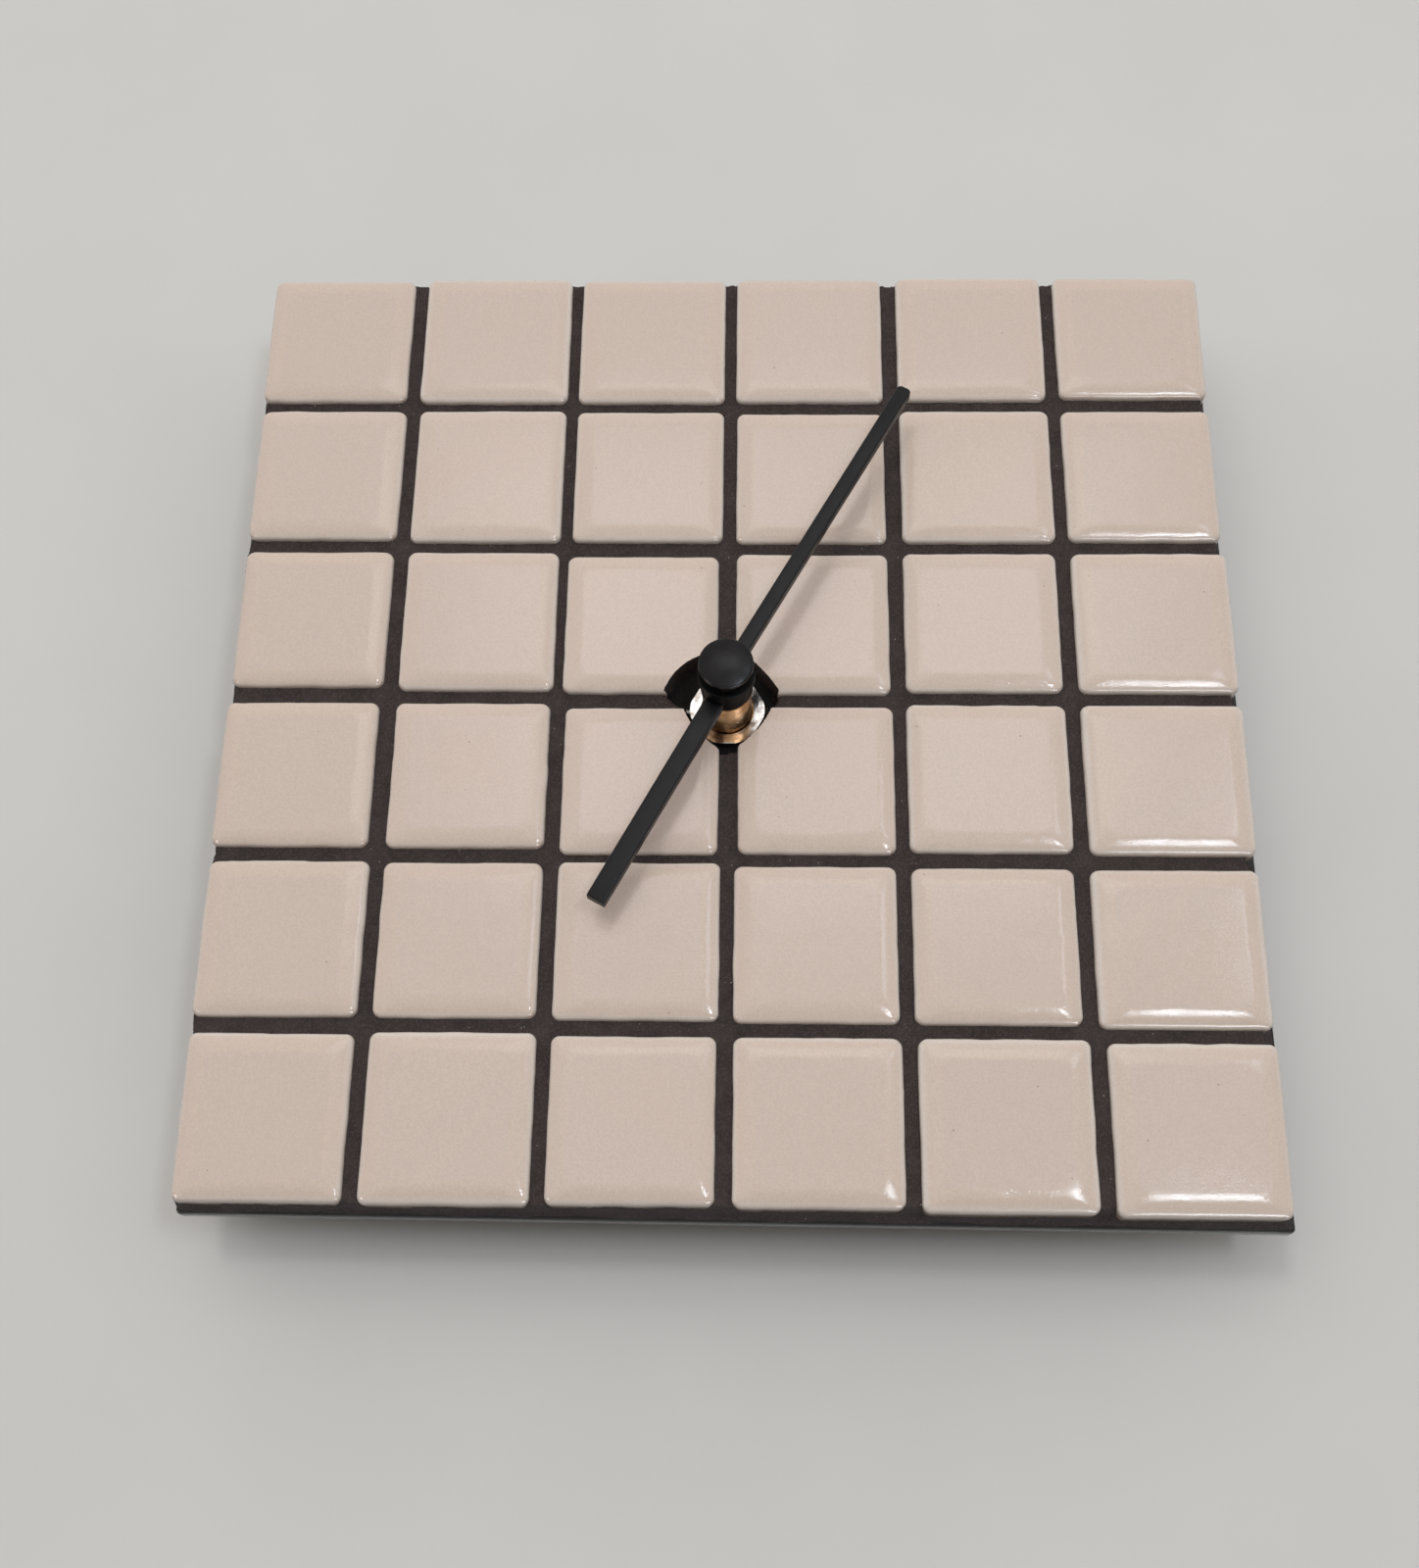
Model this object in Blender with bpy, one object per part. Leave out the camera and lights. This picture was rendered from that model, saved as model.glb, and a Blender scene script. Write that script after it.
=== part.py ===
"""Square wall clock faced with six by six glazed mosaic tiles, with its battery movement.

Sizes are in millimetres and become metres where a mesh is made. The clock faces -Y, X runs
to the right as it is seen and Z up. The wall is the plane y = 0, and the origin lies there
on the axis of the hands. A depth is a distance in front of the wall, so y is minus a depth.
"""
import math

import bmesh
import bpy

MM = 0.001

# Tiled face
TILE_COUNT = 6
TILE_SIDE = 25.4
TILE_THICKNESS = 5.6
TILE_CORNER = 1.2
TILE_TAPER = 0.3
TILE_EDGE_DROP = 0.9
TILE_EDGE_INSET = 0.4
TILE_EDGE_RISE = 0.35
TILE_CROWN_INSET = 3.0
JOINT_WIDTH = 2.2
GROUT_RECESS = 2.0
GROUT_END_INSET = 0.25
FIELD_CENTRE = (0.3, 0.9)
BOARD_CENTRE = (0.8, 0.8)
BOARD_MARGIN = 1.3
BOARD_THICKNESS = 3.0
BOARD_CORNER = 1.6
BOARD_EDGE = 0.4

# How far each corner of the glass sheet lies off a true square: (right, up)
BOARD_OFF_HIGH_RIGHT = (-1.2, 0.5)
BOARD_OFF_HIGH_LEFT = (-0.55, 0.5)
BOARD_OFF_LOW_LEFT = (0.5, 0.6)
BOARD_OFF_LOW_RIGHT = (0.55, -0.55)

# How far each tile was laid off the ruled lines: (row, column) to (right, up)
LAID_OFF = {
    (0, 0): (-0.3, -0.1), (0, 1): (-0.1, 0.0), (0, 2): (-0.2, -0.2),
    (0, 3): (-0.4, -0.1), (0, 4): (0.1, 0.2), (0, 5): (0.2, 0.3),
    (1, 0): (0.0, 0.3), (1, 1): (0.0, 0.1), (1, 2): (-0.2, 0.0),
    (1, 3): (-0.3, -0.3), (1, 4): (0.2, 0.1), (1, 5): (0.2, 0.2),
    (2, 0): (0.0, 0.4), (2, 1): (0.0, 0.1), (2, 2): (-0.7, -0.5),
    (2, 3): (-0.2, -0.3), (2, 5): (0.5, 0.0),
    (3, 0): (-0.3, 0.3), (3, 1): (-0.1, 0.2), (3, 2): (-0.2, -0.6),
    (3, 3): (0.2, -0.4), (3, 5): (0.6, -0.1),
    (4, 0): (0.1, 0.5), (4, 1): (0.0, 0.4), (4, 2): (0.0, 0.4),
    (4, 3): (-0.1, 0.0), (4, 4): (-0.1, -0.1), (4, 5): (0.4, -0.4),
    (5, 0): (0.1, 0.2), (5, 1): (0.1, 0.3), (5, 2): (-0.1, 0.2),
    (5, 3): (0.1, 0.1), (5, 4): (0.5, -0.1), (5, 5): (1.0, -0.5),
}

# Nibbled corners of the four middle tiles: how far each cut starts out along the level joint,
# how far it ends from the middle along the upright joint, and how much it bows into the tile
NOTCH_HIGH_RIGHT = (8.1, 8.5, 0.4)
NOTCH_HIGH_LEFT = (10.6, 8.0, 1.7)
NOTCH_LOW_LEFT = (7.6, 9.3, 1.2)
NOTCH_LOW_RIGHT = (7.1, 8.8, 1.0)

# Hands and cap
MINUTE_ANGLE = 29.2
MINUTE_REACH = 60.0
MINUTE_WIDTH = 2.4
MINUTE_TIP_ROUND = 0.7
MINUTE_HUB_RADIUS = 4.5
HOUR_ANGLE = 208.2
HOUR_REACH = 41.2
HOUR_WIDTH = 3.1
HOUR_TIP_ROUND = 0.15
HOUR_HUB_RADIUS = 4.15
HAND_THICKNESS = 2.0
HAND_CHAMFER = 0.28
HUB_COLLAR = 0.4
HUB_PROUD = 0.1
HAND_SPACING = 0.8
CAP_RIM_RADIUS = 4.25
CAP_FOOT_RADIUS = 3.7
CAP_SIDE = 2.4
CAP_DOME = 1.1
CAP_ROOF = 1.7

# Thread, nut and gasket
THREAD_RADIUS = 3.93
THREAD_SHOWING = 8.6
FLANGE_RADIUS = 5.5
FLANGE_THICKNESS = 0.8
NUT_FLATS = 11.8
NUT_THICKNESS = 1.8
NUT_CHAMFER = 0.6
GASKET_RADIUS = 9.0
GASKET_THICKNESS = 0.8
BOARD_HOLE_CLEARANCE = 0.3

# Battery and movement case
BATTERY_RADIUS = 7.1
BATTERY_LENGTH = 50.5
BATTERY_NUB_RADIUS = 2.75
BATTERY_NUB_LENGTH = 1.2
BATTERY_EDGE = 0.5
CONTACT_ROOM = 1.25
CONTACT_THICKNESS = 0.35
CONTACT_WIDTH = 7.0
RUN_WIDTH = 1.2
CASE_WALL = 1.5
CASE_FLOOR = 1.0
CASE_CORNER = 3.0
CASE_REAR_MARGIN = 0.5
BAY_WALL = 1.2
COVER_THICKNESS = 1.2
COVER_CORNER = 1.6
HANGER_THICKNESS = 2.0
HANGER_RECESS = 0.4
HANGER_WIDTH = 20.0
HANGER_HEIGHT = 14.0
HANGER_SLOT_WIDTH = 9.0
HANGER_SLOT_STRAIGHT = 5.0
HANGER_SEAT_RADIUS = 1.5
HANGER_SEAT_RISE = 1.6
HANGER_SLOT_RISE = 3.0
HANGER_CORNER = 3.5
HANGER_FLARE = 2.0

# Shafts and wheels
MINUTE_SHAFT_RADIUS = 1.6
MINUTE_REAR_RADIUS = 1.2
HOUR_PIPE_RADIUS = 2.5
CENTRE_HUB_RADIUS = 2.1
COVER_HUB_RADIUS = 2.4
ARBOR_RADIUS = 0.5
PIVOT_RADIUS = 0.35
PIVOT_LENGTH = 1.0
BOSS_RADIUS = 1.0
SHOULDER = 0.4
SETTING_ARBOR_RADIUS = 1.0
SETTING_PIVOT_RADIUS = 0.6
SETTING_PIVOT_LENGTH = 0.8
SETTING_BOSS_RADIUS = 1.3
KNOB_RADIUS = 5.6
KNOB_THICKNESS = 2.9
KNOB_RIBS = 20
KNOB_RIB_DEPTH = 0.35
MOTION_MODULE = 0.42
SETTING_TEETH = 36
CANNON_TEETH = 12
HOUR_TEETH = 48
SETTING_PINION_TEETH = 12
CENTRE_MODULE = 0.355
CENTRE_TEETH = 48
TRAIN_MODULE = 0.30
THIRD_TEETH = 45
SECOND_TEETH = 36
ROTOR_MODULE = 0.28
FIFTH_TEETH = 30
LEAVES = 6
PINION_MOST_TEETH = 16
MOTION_FACE = 1.2
WHEEL_FACE = 1.0
WHEEL_SPACING = 0.6
FLANGE_SPACING = 0.4
PINION_PROUD = 0.2
SETTING_BEARING = 15.0
THIRD_BEARING = 120.0
SECOND_BEARING = 150.0
FIFTH_BEARING = 185.0
ROTOR_BEARING = 263.0
MAGNET_RADIUS = 2.4
MAGNET_LENGTH = 3.0
MAGNET_FRONT_SPACE = 2.6

# Coil, stator and circuit board
STATOR_THICKNESS = 0.8
STATOR_GAP = 0.4
STATOR_RING = 0.8
STATOR_ARM = 2.4
STATOR_LEG = 2.2
STATOR_REACH = 6.8
STATOR_WALL_SPACE = 1.4
CORE_HEIGHT = 2.6
COIL_RADIUS = 2.4
COIL_FLANGE_RADIUS = 2.9
COIL_FLANGE = 0.8
PARTITION_SPACE = 1.2
CIRCUIT_THICKNESS = 1.0
CIRCUIT_WHEEL_SPACE = 0.4
CIRCUIT_HEIGHT = 30.0
CIRCUIT_FRONT_SPACE = 1.4
CHIP_RADIUS = 2.6
CHIP_HEIGHT = 0.8
POST_RADIUS = 1.1

# Clearances
SEAT_GAP = 0.3
RUNNING_CLEARANCE = 0.06
ROUND_STEPS = 24
MOTOR_STEPS = 16
PIVOT_STEPS = 12

# Depths, from the wall to the front
CASE_DEPTH = CASE_FLOOR + SEAT_GAP + 2 * BATTERY_RADIUS + CASE_REAR_MARGIN
FLOOR_DEPTH = CASE_DEPTH - CASE_FLOOR
FLANGE_FRONT = FLOOR_DEPTH - SEAT_GAP
HOUR_WHEEL_FRONT = FLANGE_FRONT - FLANGE_THICKNESS - FLANGE_SPACING
SETTING_WHEEL_FRONT = HOUR_WHEEL_FRONT - MOTION_FACE - WHEEL_SPACING
CENTRE_WHEEL_FRONT = SETTING_WHEEL_FRONT - MOTION_FACE - WHEEL_SPACING
THIRD_WHEEL_FRONT = CENTRE_WHEEL_FRONT - WHEEL_FACE - WHEEL_SPACING
SECOND_WHEEL_FRONT = THIRD_WHEEL_FRONT - WHEEL_FACE - WHEEL_SPACING
FIFTH_WHEEL_FRONT = SECOND_WHEEL_FRONT - WHEEL_FACE - WHEEL_SPACING
REAR_SHOULDER = FIFTH_WHEEL_FRONT - WHEEL_FACE - SHOULDER - PINION_PROUD
COVER_BOSS_FACE = REAR_SHOULDER - SEAT_GAP
CENTRE_HUB_REAR = THIRD_WHEEL_FRONT - WHEEL_FACE - SEAT_GAP
GASKET_REAR = CASE_DEPTH + SEAT_GAP
BOARD_REAR = GASKET_REAR + GASKET_THICKNESS + SEAT_GAP
BOARD_FRONT = BOARD_REAR + BOARD_THICKNESS
TILE_REAR = BOARD_FRONT + SEAT_GAP
TILE_FRONT = TILE_REAR + TILE_THICKNESS
NUT_REAR = BOARD_FRONT + SEAT_GAP
NUT_FRONT = NUT_REAR + NUT_THICKNESS
THREAD_FRONT = NUT_FRONT + THREAD_SHOWING
HOUR_HAND_REAR = THREAD_FRONT + SEAT_GAP
HOUR_HAND_FRONT = HOUR_HAND_REAR + HUB_COLLAR + HAND_THICKNESS + HUB_PROUD
MINUTE_HAND_REAR = HOUR_HAND_FRONT + HAND_SPACING
MINUTE_HAND_FRONT = MINUTE_HAND_REAR + HUB_COLLAR / 2 + HAND_THICKNESS + HUB_PROUD
CAP_REAR = MINUTE_HAND_FRONT + SEAT_GAP
CAP_RIM = CAP_REAR + CAP_SIDE
CAP_FRONT = CAP_RIM + CAP_DOME
MINUTE_SHAFT_FRONT = CAP_FRONT - CAP_ROOF - SEAT_GAP
MAGNET_FRONT = FLOOR_DEPTH - MAGNET_FRONT_SPACE
STATOR_FRONT = MAGNET_FRONT - (MAGNET_LENGTH - STATOR_THICKNESS) / 2
CIRCUIT_FRONT = FLOOR_DEPTH - CIRCUIT_FRONT_SPACE

# Heights and widths that follow from the sizes above
PITCH = TILE_SIDE + JOINT_WIDTH
FIELD_SIDE = TILE_COUNT * TILE_SIDE + (TILE_COUNT - 1) * JOINT_WIDTH
BOARD_SIDE = FIELD_SIDE + 2 * BOARD_MARGIN
CASE_SIDE = BATTERY_LENGTH + 2 * CONTACT_ROOM + 2 * CASE_WALL
CASE_HALF = CASE_SIDE / 2
CASE_INNER = CASE_HALF - CASE_WALL
BAY_FLOOR = -CASE_HALF + BAY_WALL
BATTERY_CENTRE = BAY_FLOOR + SEAT_GAP + BATTERY_RADIUS
BATTERY_DEPTH = FLOOR_DEPTH - SEAT_GAP - BATTERY_RADIUS
BAY_TOP = BATTERY_CENTRE + BATTERY_RADIUS + SEAT_GAP
PARTITION_TOP = BAY_TOP + BAY_WALL
MOTION_DISTANCE = MOTION_MODULE * (SETTING_TEETH + CANNON_TEETH) / 2
HOUR_MODULE = 2 * MOTION_DISTANCE / (HOUR_TEETH + SETTING_PINION_TEETH)
COIL_CENTRE = PARTITION_TOP + PARTITION_SPACE + COIL_FLANGE_RADIUS


def step_from(start, distance, bearing):
    """The point at a distance from start, at a bearing in degrees from +X towards +Z."""
    turn = math.radians(bearing)
    return (start[0] + distance * math.cos(turn), start[1] + distance * math.sin(turn))


HUB = (0.0, 0.0)
SETTING_AXIS = step_from(HUB, MOTION_DISTANCE, SETTING_BEARING)
THIRD_AXIS = step_from(HUB, CENTRE_MODULE * (CENTRE_TEETH + LEAVES) / 2, THIRD_BEARING)
SECOND_AXIS = step_from(THIRD_AXIS, TRAIN_MODULE * (THIRD_TEETH + LEAVES) / 2, SECOND_BEARING)
FIFTH_AXIS = step_from(SECOND_AXIS, TRAIN_MODULE * (SECOND_TEETH + LEAVES) / 2, FIFTH_BEARING)
ROTOR_AXIS = step_from(FIFTH_AXIS, ROTOR_MODULE * (FIFTH_TEETH + LEAVES) / 2, ROTOR_BEARING)


# Mesh tools

def finish(name, colour, roughness, metallic=0.0):
    """A Principled material, made once for each name."""
    material = bpy.data.materials.get(name)
    if material is None:
        material = bpy.data.materials.new(name)
        material.use_nodes = True
        shader = material.node_tree.nodes["Principled BSDF"]
        shader.inputs["Base Color"].default_value = (*colour, 1.0)
        shader.inputs["Roughness"].default_value = roughness
        shader.inputs["Metallic"].default_value = metallic
    return material


def solid(name, rings, closed=False, axis_point=(0.0, 0.0), material=None):
    """An object whose skin runs through rings of (x, depth, z) points.

    An open stack gets a flat face on its first and last ring; a closed stack joins its last
    ring to its first, as a tube or washer does. Points that meet are merged.
    """
    work = bmesh.new()
    loops = []
    for ring in rings:
        loops.append([work.verts.new(((x - axis_point[0]) * MM, -depth * MM, (z - axis_point[1]) * MM))
                      for x, depth, z in ring])
    count = len(loops[0])
    pairs = list(zip(loops, loops[1:]))
    if closed:
        pairs.append((loops[-1], loops[0]))
    for low, high in pairs:
        for i in range(count):
            j = (i + 1) % count
            work.faces.new((low[i], low[j], high[j], high[i]))
    if not closed:
        work.faces.new(loops[0])
        work.faces.new(loops[-1])
    bmesh.ops.remove_doubles(work, verts=work.verts, dist=1e-7)
    bmesh.ops.dissolve_degenerate(work, dist=1e-8, edges=work.edges)
    bmesh.ops.recalc_face_normals(work, faces=work.faces)
    mesh = bpy.data.meshes.new(name)
    work.to_mesh(mesh)
    work.free()
    thing = bpy.data.objects.new(name, mesh)
    thing.location = (axis_point[0] * MM, 0.0, axis_point[1] * MM)
    bpy.context.scene.collection.objects.link(thing)
    if material is not None:
        mesh.materials.append(material)
    return thing


def prism(name, outline, rear, front, **options):
    """A straight solid on an outline of (x, z) points between two depths."""
    return solid(name, [[(x, depth, z) for x, z in outline] for depth in (rear, front)], **options)


def turned(name, profile, centre=HUB, steps=ROUND_STEPS, closed=False, **options):
    """A solid turned about the line through centre towards the front, from (radius, depth) points."""
    rings = []
    for radius, depth in profile:
        rings.append([(centre[0] + radius * math.cos(2 * math.pi * i / steps), depth,
                       centre[1] + radius * math.sin(2 * math.pi * i / steps)) for i in range(steps)])
    return solid(name, rings, closed=closed, **options)


def turned_across(name, profile, depth, height, steps=ROUND_STEPS, closed=False, **options):
    """A solid turned about a line along X at a depth and height, from (radius, x) points."""
    rings = []
    for radius, x in profile:
        rings.append([(x, depth + radius * math.cos(2 * math.pi * i / steps),
                       height + radius * math.sin(2 * math.pi * i / steps)) for i in range(steps)])
    return solid(name, rings, closed=closed, **options)


def combine(target, tool, operation):
    """Unite a tool with the target or cut it out, and remove the tool."""
    cut = target.modifiers.new(operation.title(), "BOOLEAN")
    cut.operation = operation
    cut.solver = "EXACT"
    cut.object = tool
    bpy.context.view_layer.update()
    evaluated = target.evaluated_get(bpy.context.evaluated_depsgraph_get())
    result = bpy.data.meshes.new_from_object(evaluated)
    target.modifiers.clear()
    work = bmesh.new()
    work.from_mesh(result)
    bmesh.ops.remove_doubles(work, verts=work.verts, dist=1e-7)
    bmesh.ops.dissolve_degenerate(work, dist=1e-8, edges=work.edges)
    work.to_mesh(result)
    work.free()
    old = target.data
    target.data = result
    result.name = target.name
    bpy.data.meshes.remove(old)
    spent = tool.data
    bpy.data.objects.remove(tool)
    bpy.data.meshes.remove(spent)
    return target


def add(target, tool):
    """Unite the tool with the target."""
    return combine(target, tool, "UNION")


def cut(target, tool):
    """Cut the tool out of the target."""
    return combine(target, tool, "DIFFERENCE")


def bore(radius, steps=ROUND_STEPS):
    """The corner radius of a bore whose flats clear a running shaft of the given radius."""
    return (radius + RUNNING_CLEARANCE) / math.cos(math.pi / steps)


def arc(centre, radius, start, end, steps):
    """Points on an arc between two angles in degrees, both ends included."""
    points = []
    for i in range(steps + 1):
        points.append(step_from(centre, radius, start + (end - start) * i / steps))
    return points


def rounded_rectangle(centre, width, height, radius, steps=2):
    """A rectangle outline with round corners."""
    points = []
    for corner in range(4):
        side = (1, -1, -1, 1)[corner]
        rise = (1, 1, -1, -1)[corner]
        middle = (centre[0] + side * (width / 2 - radius), centre[1] + rise * (height / 2 - radius))
        points += arc(middle, radius, 90 * corner, 90 * corner + 90, steps)
    return points


def bowed_line(start, end, bow, steps):
    """Points from start to end along a shallow arc that bulges to the left of the way."""
    length = math.dist(start, end)
    along = ((end[0] - start[0]) / length, (end[1] - start[1]) / length)
    points = []
    for i in range(steps + 1):
        share = i / steps
        lift = 4 * bow * share * (1 - share)
        points.append((start[0] + along[0] * length * share - along[1] * lift,
                       start[1] + along[1] * length * share + along[0] * lift))
    return points


def box(name, low, high, rear, front):
    """A rectangular block between two (x, z) corners and two depths."""
    outline = [low, (high[0], low[1]), high, (low[0], high[1])]
    return prism(name, outline, rear, front)


def soften(thing, angle=35.0):
    """Shade a round piece smooth, with its real edges left sharp."""
    thing.data.shade_smooth()
    thing.data.set_sharp_from_angle(angle=math.radians(angle))
    return thing


# Tiled face

def tile_centre(row, column):
    """The middle of a tile, counted from the top left, with its laying error."""
    middle = (TILE_COUNT - 1) / 2
    off = LAID_OFF.get((row, column), (0.0, 0.0))
    return (FIELD_CENTRE[0] + (column - middle) * PITCH + off[0],
            FIELD_CENTRE[1] + (middle - row) * PITCH + off[1])


def notch_outline():
    """The edge of the nibbled hole round the thread, anticlockwise as it is seen."""
    half = JOINT_WIDTH / 2
    quarters = [(1, 1, NOTCH_HIGH_RIGHT), (-1, 1, NOTCH_HIGH_LEFT),
                (-1, -1, NOTCH_LOW_LEFT), (1, -1, NOTCH_LOW_RIGHT)]
    points = []
    for side, rise, (level, upright, bow) in quarters:
        ends = [(side * level, rise * half), (side * half, rise * upright)]
        if side * rise < 0:
            ends.reverse()
        for x, z in bowed_line(ends[0], ends[1], -bow, 5):
            points.append((FIELD_CENTRE[0] + x, FIELD_CENTRE[1] + z))
    return points


def make_tile(row, column):
    """One glazed tile: tapered back, rounded edge and a face that falls off towards its margin."""
    centre = tile_centre(row, column)
    shoulder = TILE_FRONT - TILE_EDGE_DROP
    levels = [(TILE_REAR, TILE_TAPER), (shoulder, 0.0),
              (TILE_FRONT - TILE_EDGE_RISE, TILE_EDGE_INSET), (TILE_FRONT, TILE_CROWN_INSET)]
    rings = []
    for depth, inset in levels:
        side = TILE_SIDE - 2 * inset
        corner = TILE_CORNER + inset / 4
        rings.append([(x, depth, z) for x, z in rounded_rectangle(centre, side, side, corner)])
    name = "tile_r%d_c%d" % (row + 1, column + 1)
    tile = solid(name, rings, axis_point=centre, material=finish("glazed_tile", (0.63, 0.52, 0.44), 0.28))
    halfway = TILE_COUNT // 2
    if row in (halfway - 1, halfway) and column in (halfway - 1, halfway):
        cut(tile, prism("notch", notch_outline(), TILE_REAR - 1, TILE_FRONT + 1))
    return soften(tile, 30)


def board_outline(inset):
    """The edge of the glass sheet, which was cut a little out of square, set in all round."""
    half = BOARD_SIDE / 2
    corners = [(1, 1, BOARD_OFF_HIGH_RIGHT), (-1, 1, BOARD_OFF_HIGH_LEFT),
               (-1, -1, BOARD_OFF_LOW_LEFT), (1, -1, BOARD_OFF_LOW_RIGHT)]
    side = BOARD_SIDE - 2 * inset
    points = []
    for x, z in rounded_rectangle(BOARD_CENTRE, side, side, BOARD_CORNER, 3):
        across = (x - BOARD_CENTRE[0]) / half
        up = (z - BOARD_CENTRE[1]) / half
        shares = [(1 + way * across) * (1 + rise * up) / 4 for way, rise, _ in corners]
        points.append((x + sum(share * off[0] for share, (_, _, off) in zip(shares, corners)),
                       z + sum(share * off[1] for share, (_, _, off) in zip(shares, corners))))
    return points


def make_board():
    """The glass sheet that carries everything, with the hole for the thread."""
    levels = [(BOARD_REAR, BOARD_EDGE), (BOARD_REAR + BOARD_EDGE, 0.0),
              (BOARD_FRONT - BOARD_EDGE, 0.0), (BOARD_FRONT, BOARD_EDGE)]
    rings = [[(x, depth, z) for x, z in board_outline(inset)] for depth, inset in levels]
    board = solid("backing_board", rings, material=finish("board_glass", (0.10, 0.115, 0.105), 0.12))
    hole = THREAD_RADIUS + BOARD_HOLE_CLEARANCE
    cut(board, turned("hole", [(hole, BOARD_REAR - 1), (hole, BOARD_FRONT + 1)]))
    return board


def make_grout():
    """The grout lattice between the tiles, lower than their faces, open round the thread."""
    side = FIELD_SIDE - 2 * GROUT_END_INSET
    front = TILE_FRONT - GROUT_RECESS
    rear = BOARD_FRONT + SEAT_GAP
    grout = prism("grout_grid", rounded_rectangle(FIELD_CENTRE, side, side, TILE_CORNER, 1),
                  rear, front, material=finish("grout", (0.045, 0.035, 0.033), 0.95))
    pocket = TILE_SIDE + 2 * SEAT_GAP
    for row in range(TILE_COUNT):
        for column in range(TILE_COUNT):
            outline = rounded_rectangle(tile_centre(row, column), pocket, pocket, TILE_CORNER * 2 / 3, 1)
            cut(grout, prism("pocket", outline, rear - 1, front + 1))
    cut(grout, prism("notch", notch_outline(), rear - 1, front + 1))
    return grout


# Hands and cap

def hand_outline(angle, width, reach, tip_round, inset):
    """A straight hand from the axis to its tip, its clock angle in degrees from twelve."""
    turn = math.radians(angle)
    ahead = (math.sin(turn), math.cos(turn))
    right = (math.cos(turn), -math.sin(turn))
    half = width / 2 - inset
    end = reach - inset
    corner = max(tip_round - inset, tip_round / 4)
    local = [(-half, 0.0)]
    local += [(-half + corner - corner * math.cos(math.radians(a)),
               end - corner + corner * math.sin(math.radians(a))) for a in (0, 30, 60, 90)]
    local += [(half - corner + corner * math.sin(math.radians(a)),
               end - corner + corner * math.cos(math.radians(a))) for a in (0, 30, 60, 90)]
    local.append((half, 0.0))
    return [(x * right[0] + y * ahead[0], x * right[1] + y * ahead[1]) for x, y in local]


def make_hand(name, angle, width, reach, tip_round, hub_radius, shaft, rear, front):
    """A flat bar hand with chamfered front edges on a round hub that grips its shaft."""
    black = finish("hand_black", (0.02, 0.02, 0.022), 0.42)
    hub = turned(name, [(0, rear), (hub_radius, rear), (hub_radius, front - HAND_CHAMFER),
                        (hub_radius - HAND_CHAMFER, front), (0, front)], material=black)
    bar_front = front - HUB_PROUD
    bar_rear = bar_front - HAND_THICKNESS
    rings = []
    for depth, inset in ((bar_rear, 0.0), (bar_front - HAND_CHAMFER, 0.0), (bar_front, HAND_CHAMFER)):
        outline = hand_outline(angle, width, reach, tip_round, inset)
        rings.append([(x, depth, z) for x, z in outline])
    add(hub, solid("bar", rings))
    hole = bore(shaft)
    cut(hub, turned("bore", [(hole, rear - 1), (hole, front + 1)]))
    return soften(hub)


def make_cap():
    """The domed cap that hides the end of the minute shaft."""
    hole = bore(MINUTE_SHAFT_RADIUS)
    roof = CAP_FRONT - CAP_ROOF
    profile = [(0, roof), (hole, roof), (hole, CAP_REAR), (CAP_FOOT_RADIUS, CAP_REAR),
               (CAP_RIM_RADIUS, CAP_RIM - CAP_DOME / 2), (CAP_RIM_RADIUS, CAP_RIM)]
    for share in (0.75, 0.5, 0.25, 0.0):
        rise = CAP_DOME * (1 - share ** 2)
        profile.append((CAP_RIM_RADIUS * share, CAP_RIM + rise))
    cap = turned("hand_cap", profile, material=finish("cap_black", (0.018, 0.018, 0.02), 0.3))
    return soften(cap)


# Thread, nut and gasket

def make_bushing():
    """The brass threaded bush that clamps the movement to the board, seated in the case by its flange."""
    hole = bore(HOUR_PIPE_RADIUS)
    rear = FLANGE_FRONT - FLANGE_THICKNESS
    profile = [(hole, rear), (FLANGE_RADIUS, rear), (FLANGE_RADIUS, FLANGE_FRONT),
               (THREAD_RADIUS, FLANGE_FRONT), (THREAD_RADIUS, THREAD_FRONT - HAND_CHAMFER),
               (THREAD_RADIUS - HAND_CHAMFER, THREAD_FRONT), (hole, THREAD_FRONT)]
    brass = finish("bushing_brass", (0.72, 0.52, 0.25), 0.3, 1.0)
    return soften(turned("threaded_bushing", profile, closed=True, material=brass))


def make_nut():
    """The chromed hexagon nut on the front of the board, with a chamfered face."""
    corner = NUT_FLATS / 2 / math.cos(math.radians(30))
    outline = [step_from(HUB, corner, 60 * i) for i in range(6)]
    chrome = finish("nut_chrome", (0.75, 0.75, 0.76), 0.12, 1.0)
    nut = prism("hex_nut", outline, NUT_REAR, NUT_FRONT, material=chrome)
    flat = NUT_FLATS / 2
    wide = corner + NUT_CHAMFER
    cone = turned("cone", [(flat, NUT_FRONT + 1e-3), (wide + 1, NUT_FRONT + 1e-3),
                           (wide + 1, NUT_FRONT - NUT_CHAMFER), (wide, NUT_FRONT - NUT_CHAMFER)],
                  closed=True, steps=36)
    cut(nut, cone)
    hole = bore(THREAD_RADIUS)
    cut(nut, turned("bore", [(hole, NUT_REAR - 1), (hole, NUT_FRONT + 1)]))
    return soften(nut, 20)


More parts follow.
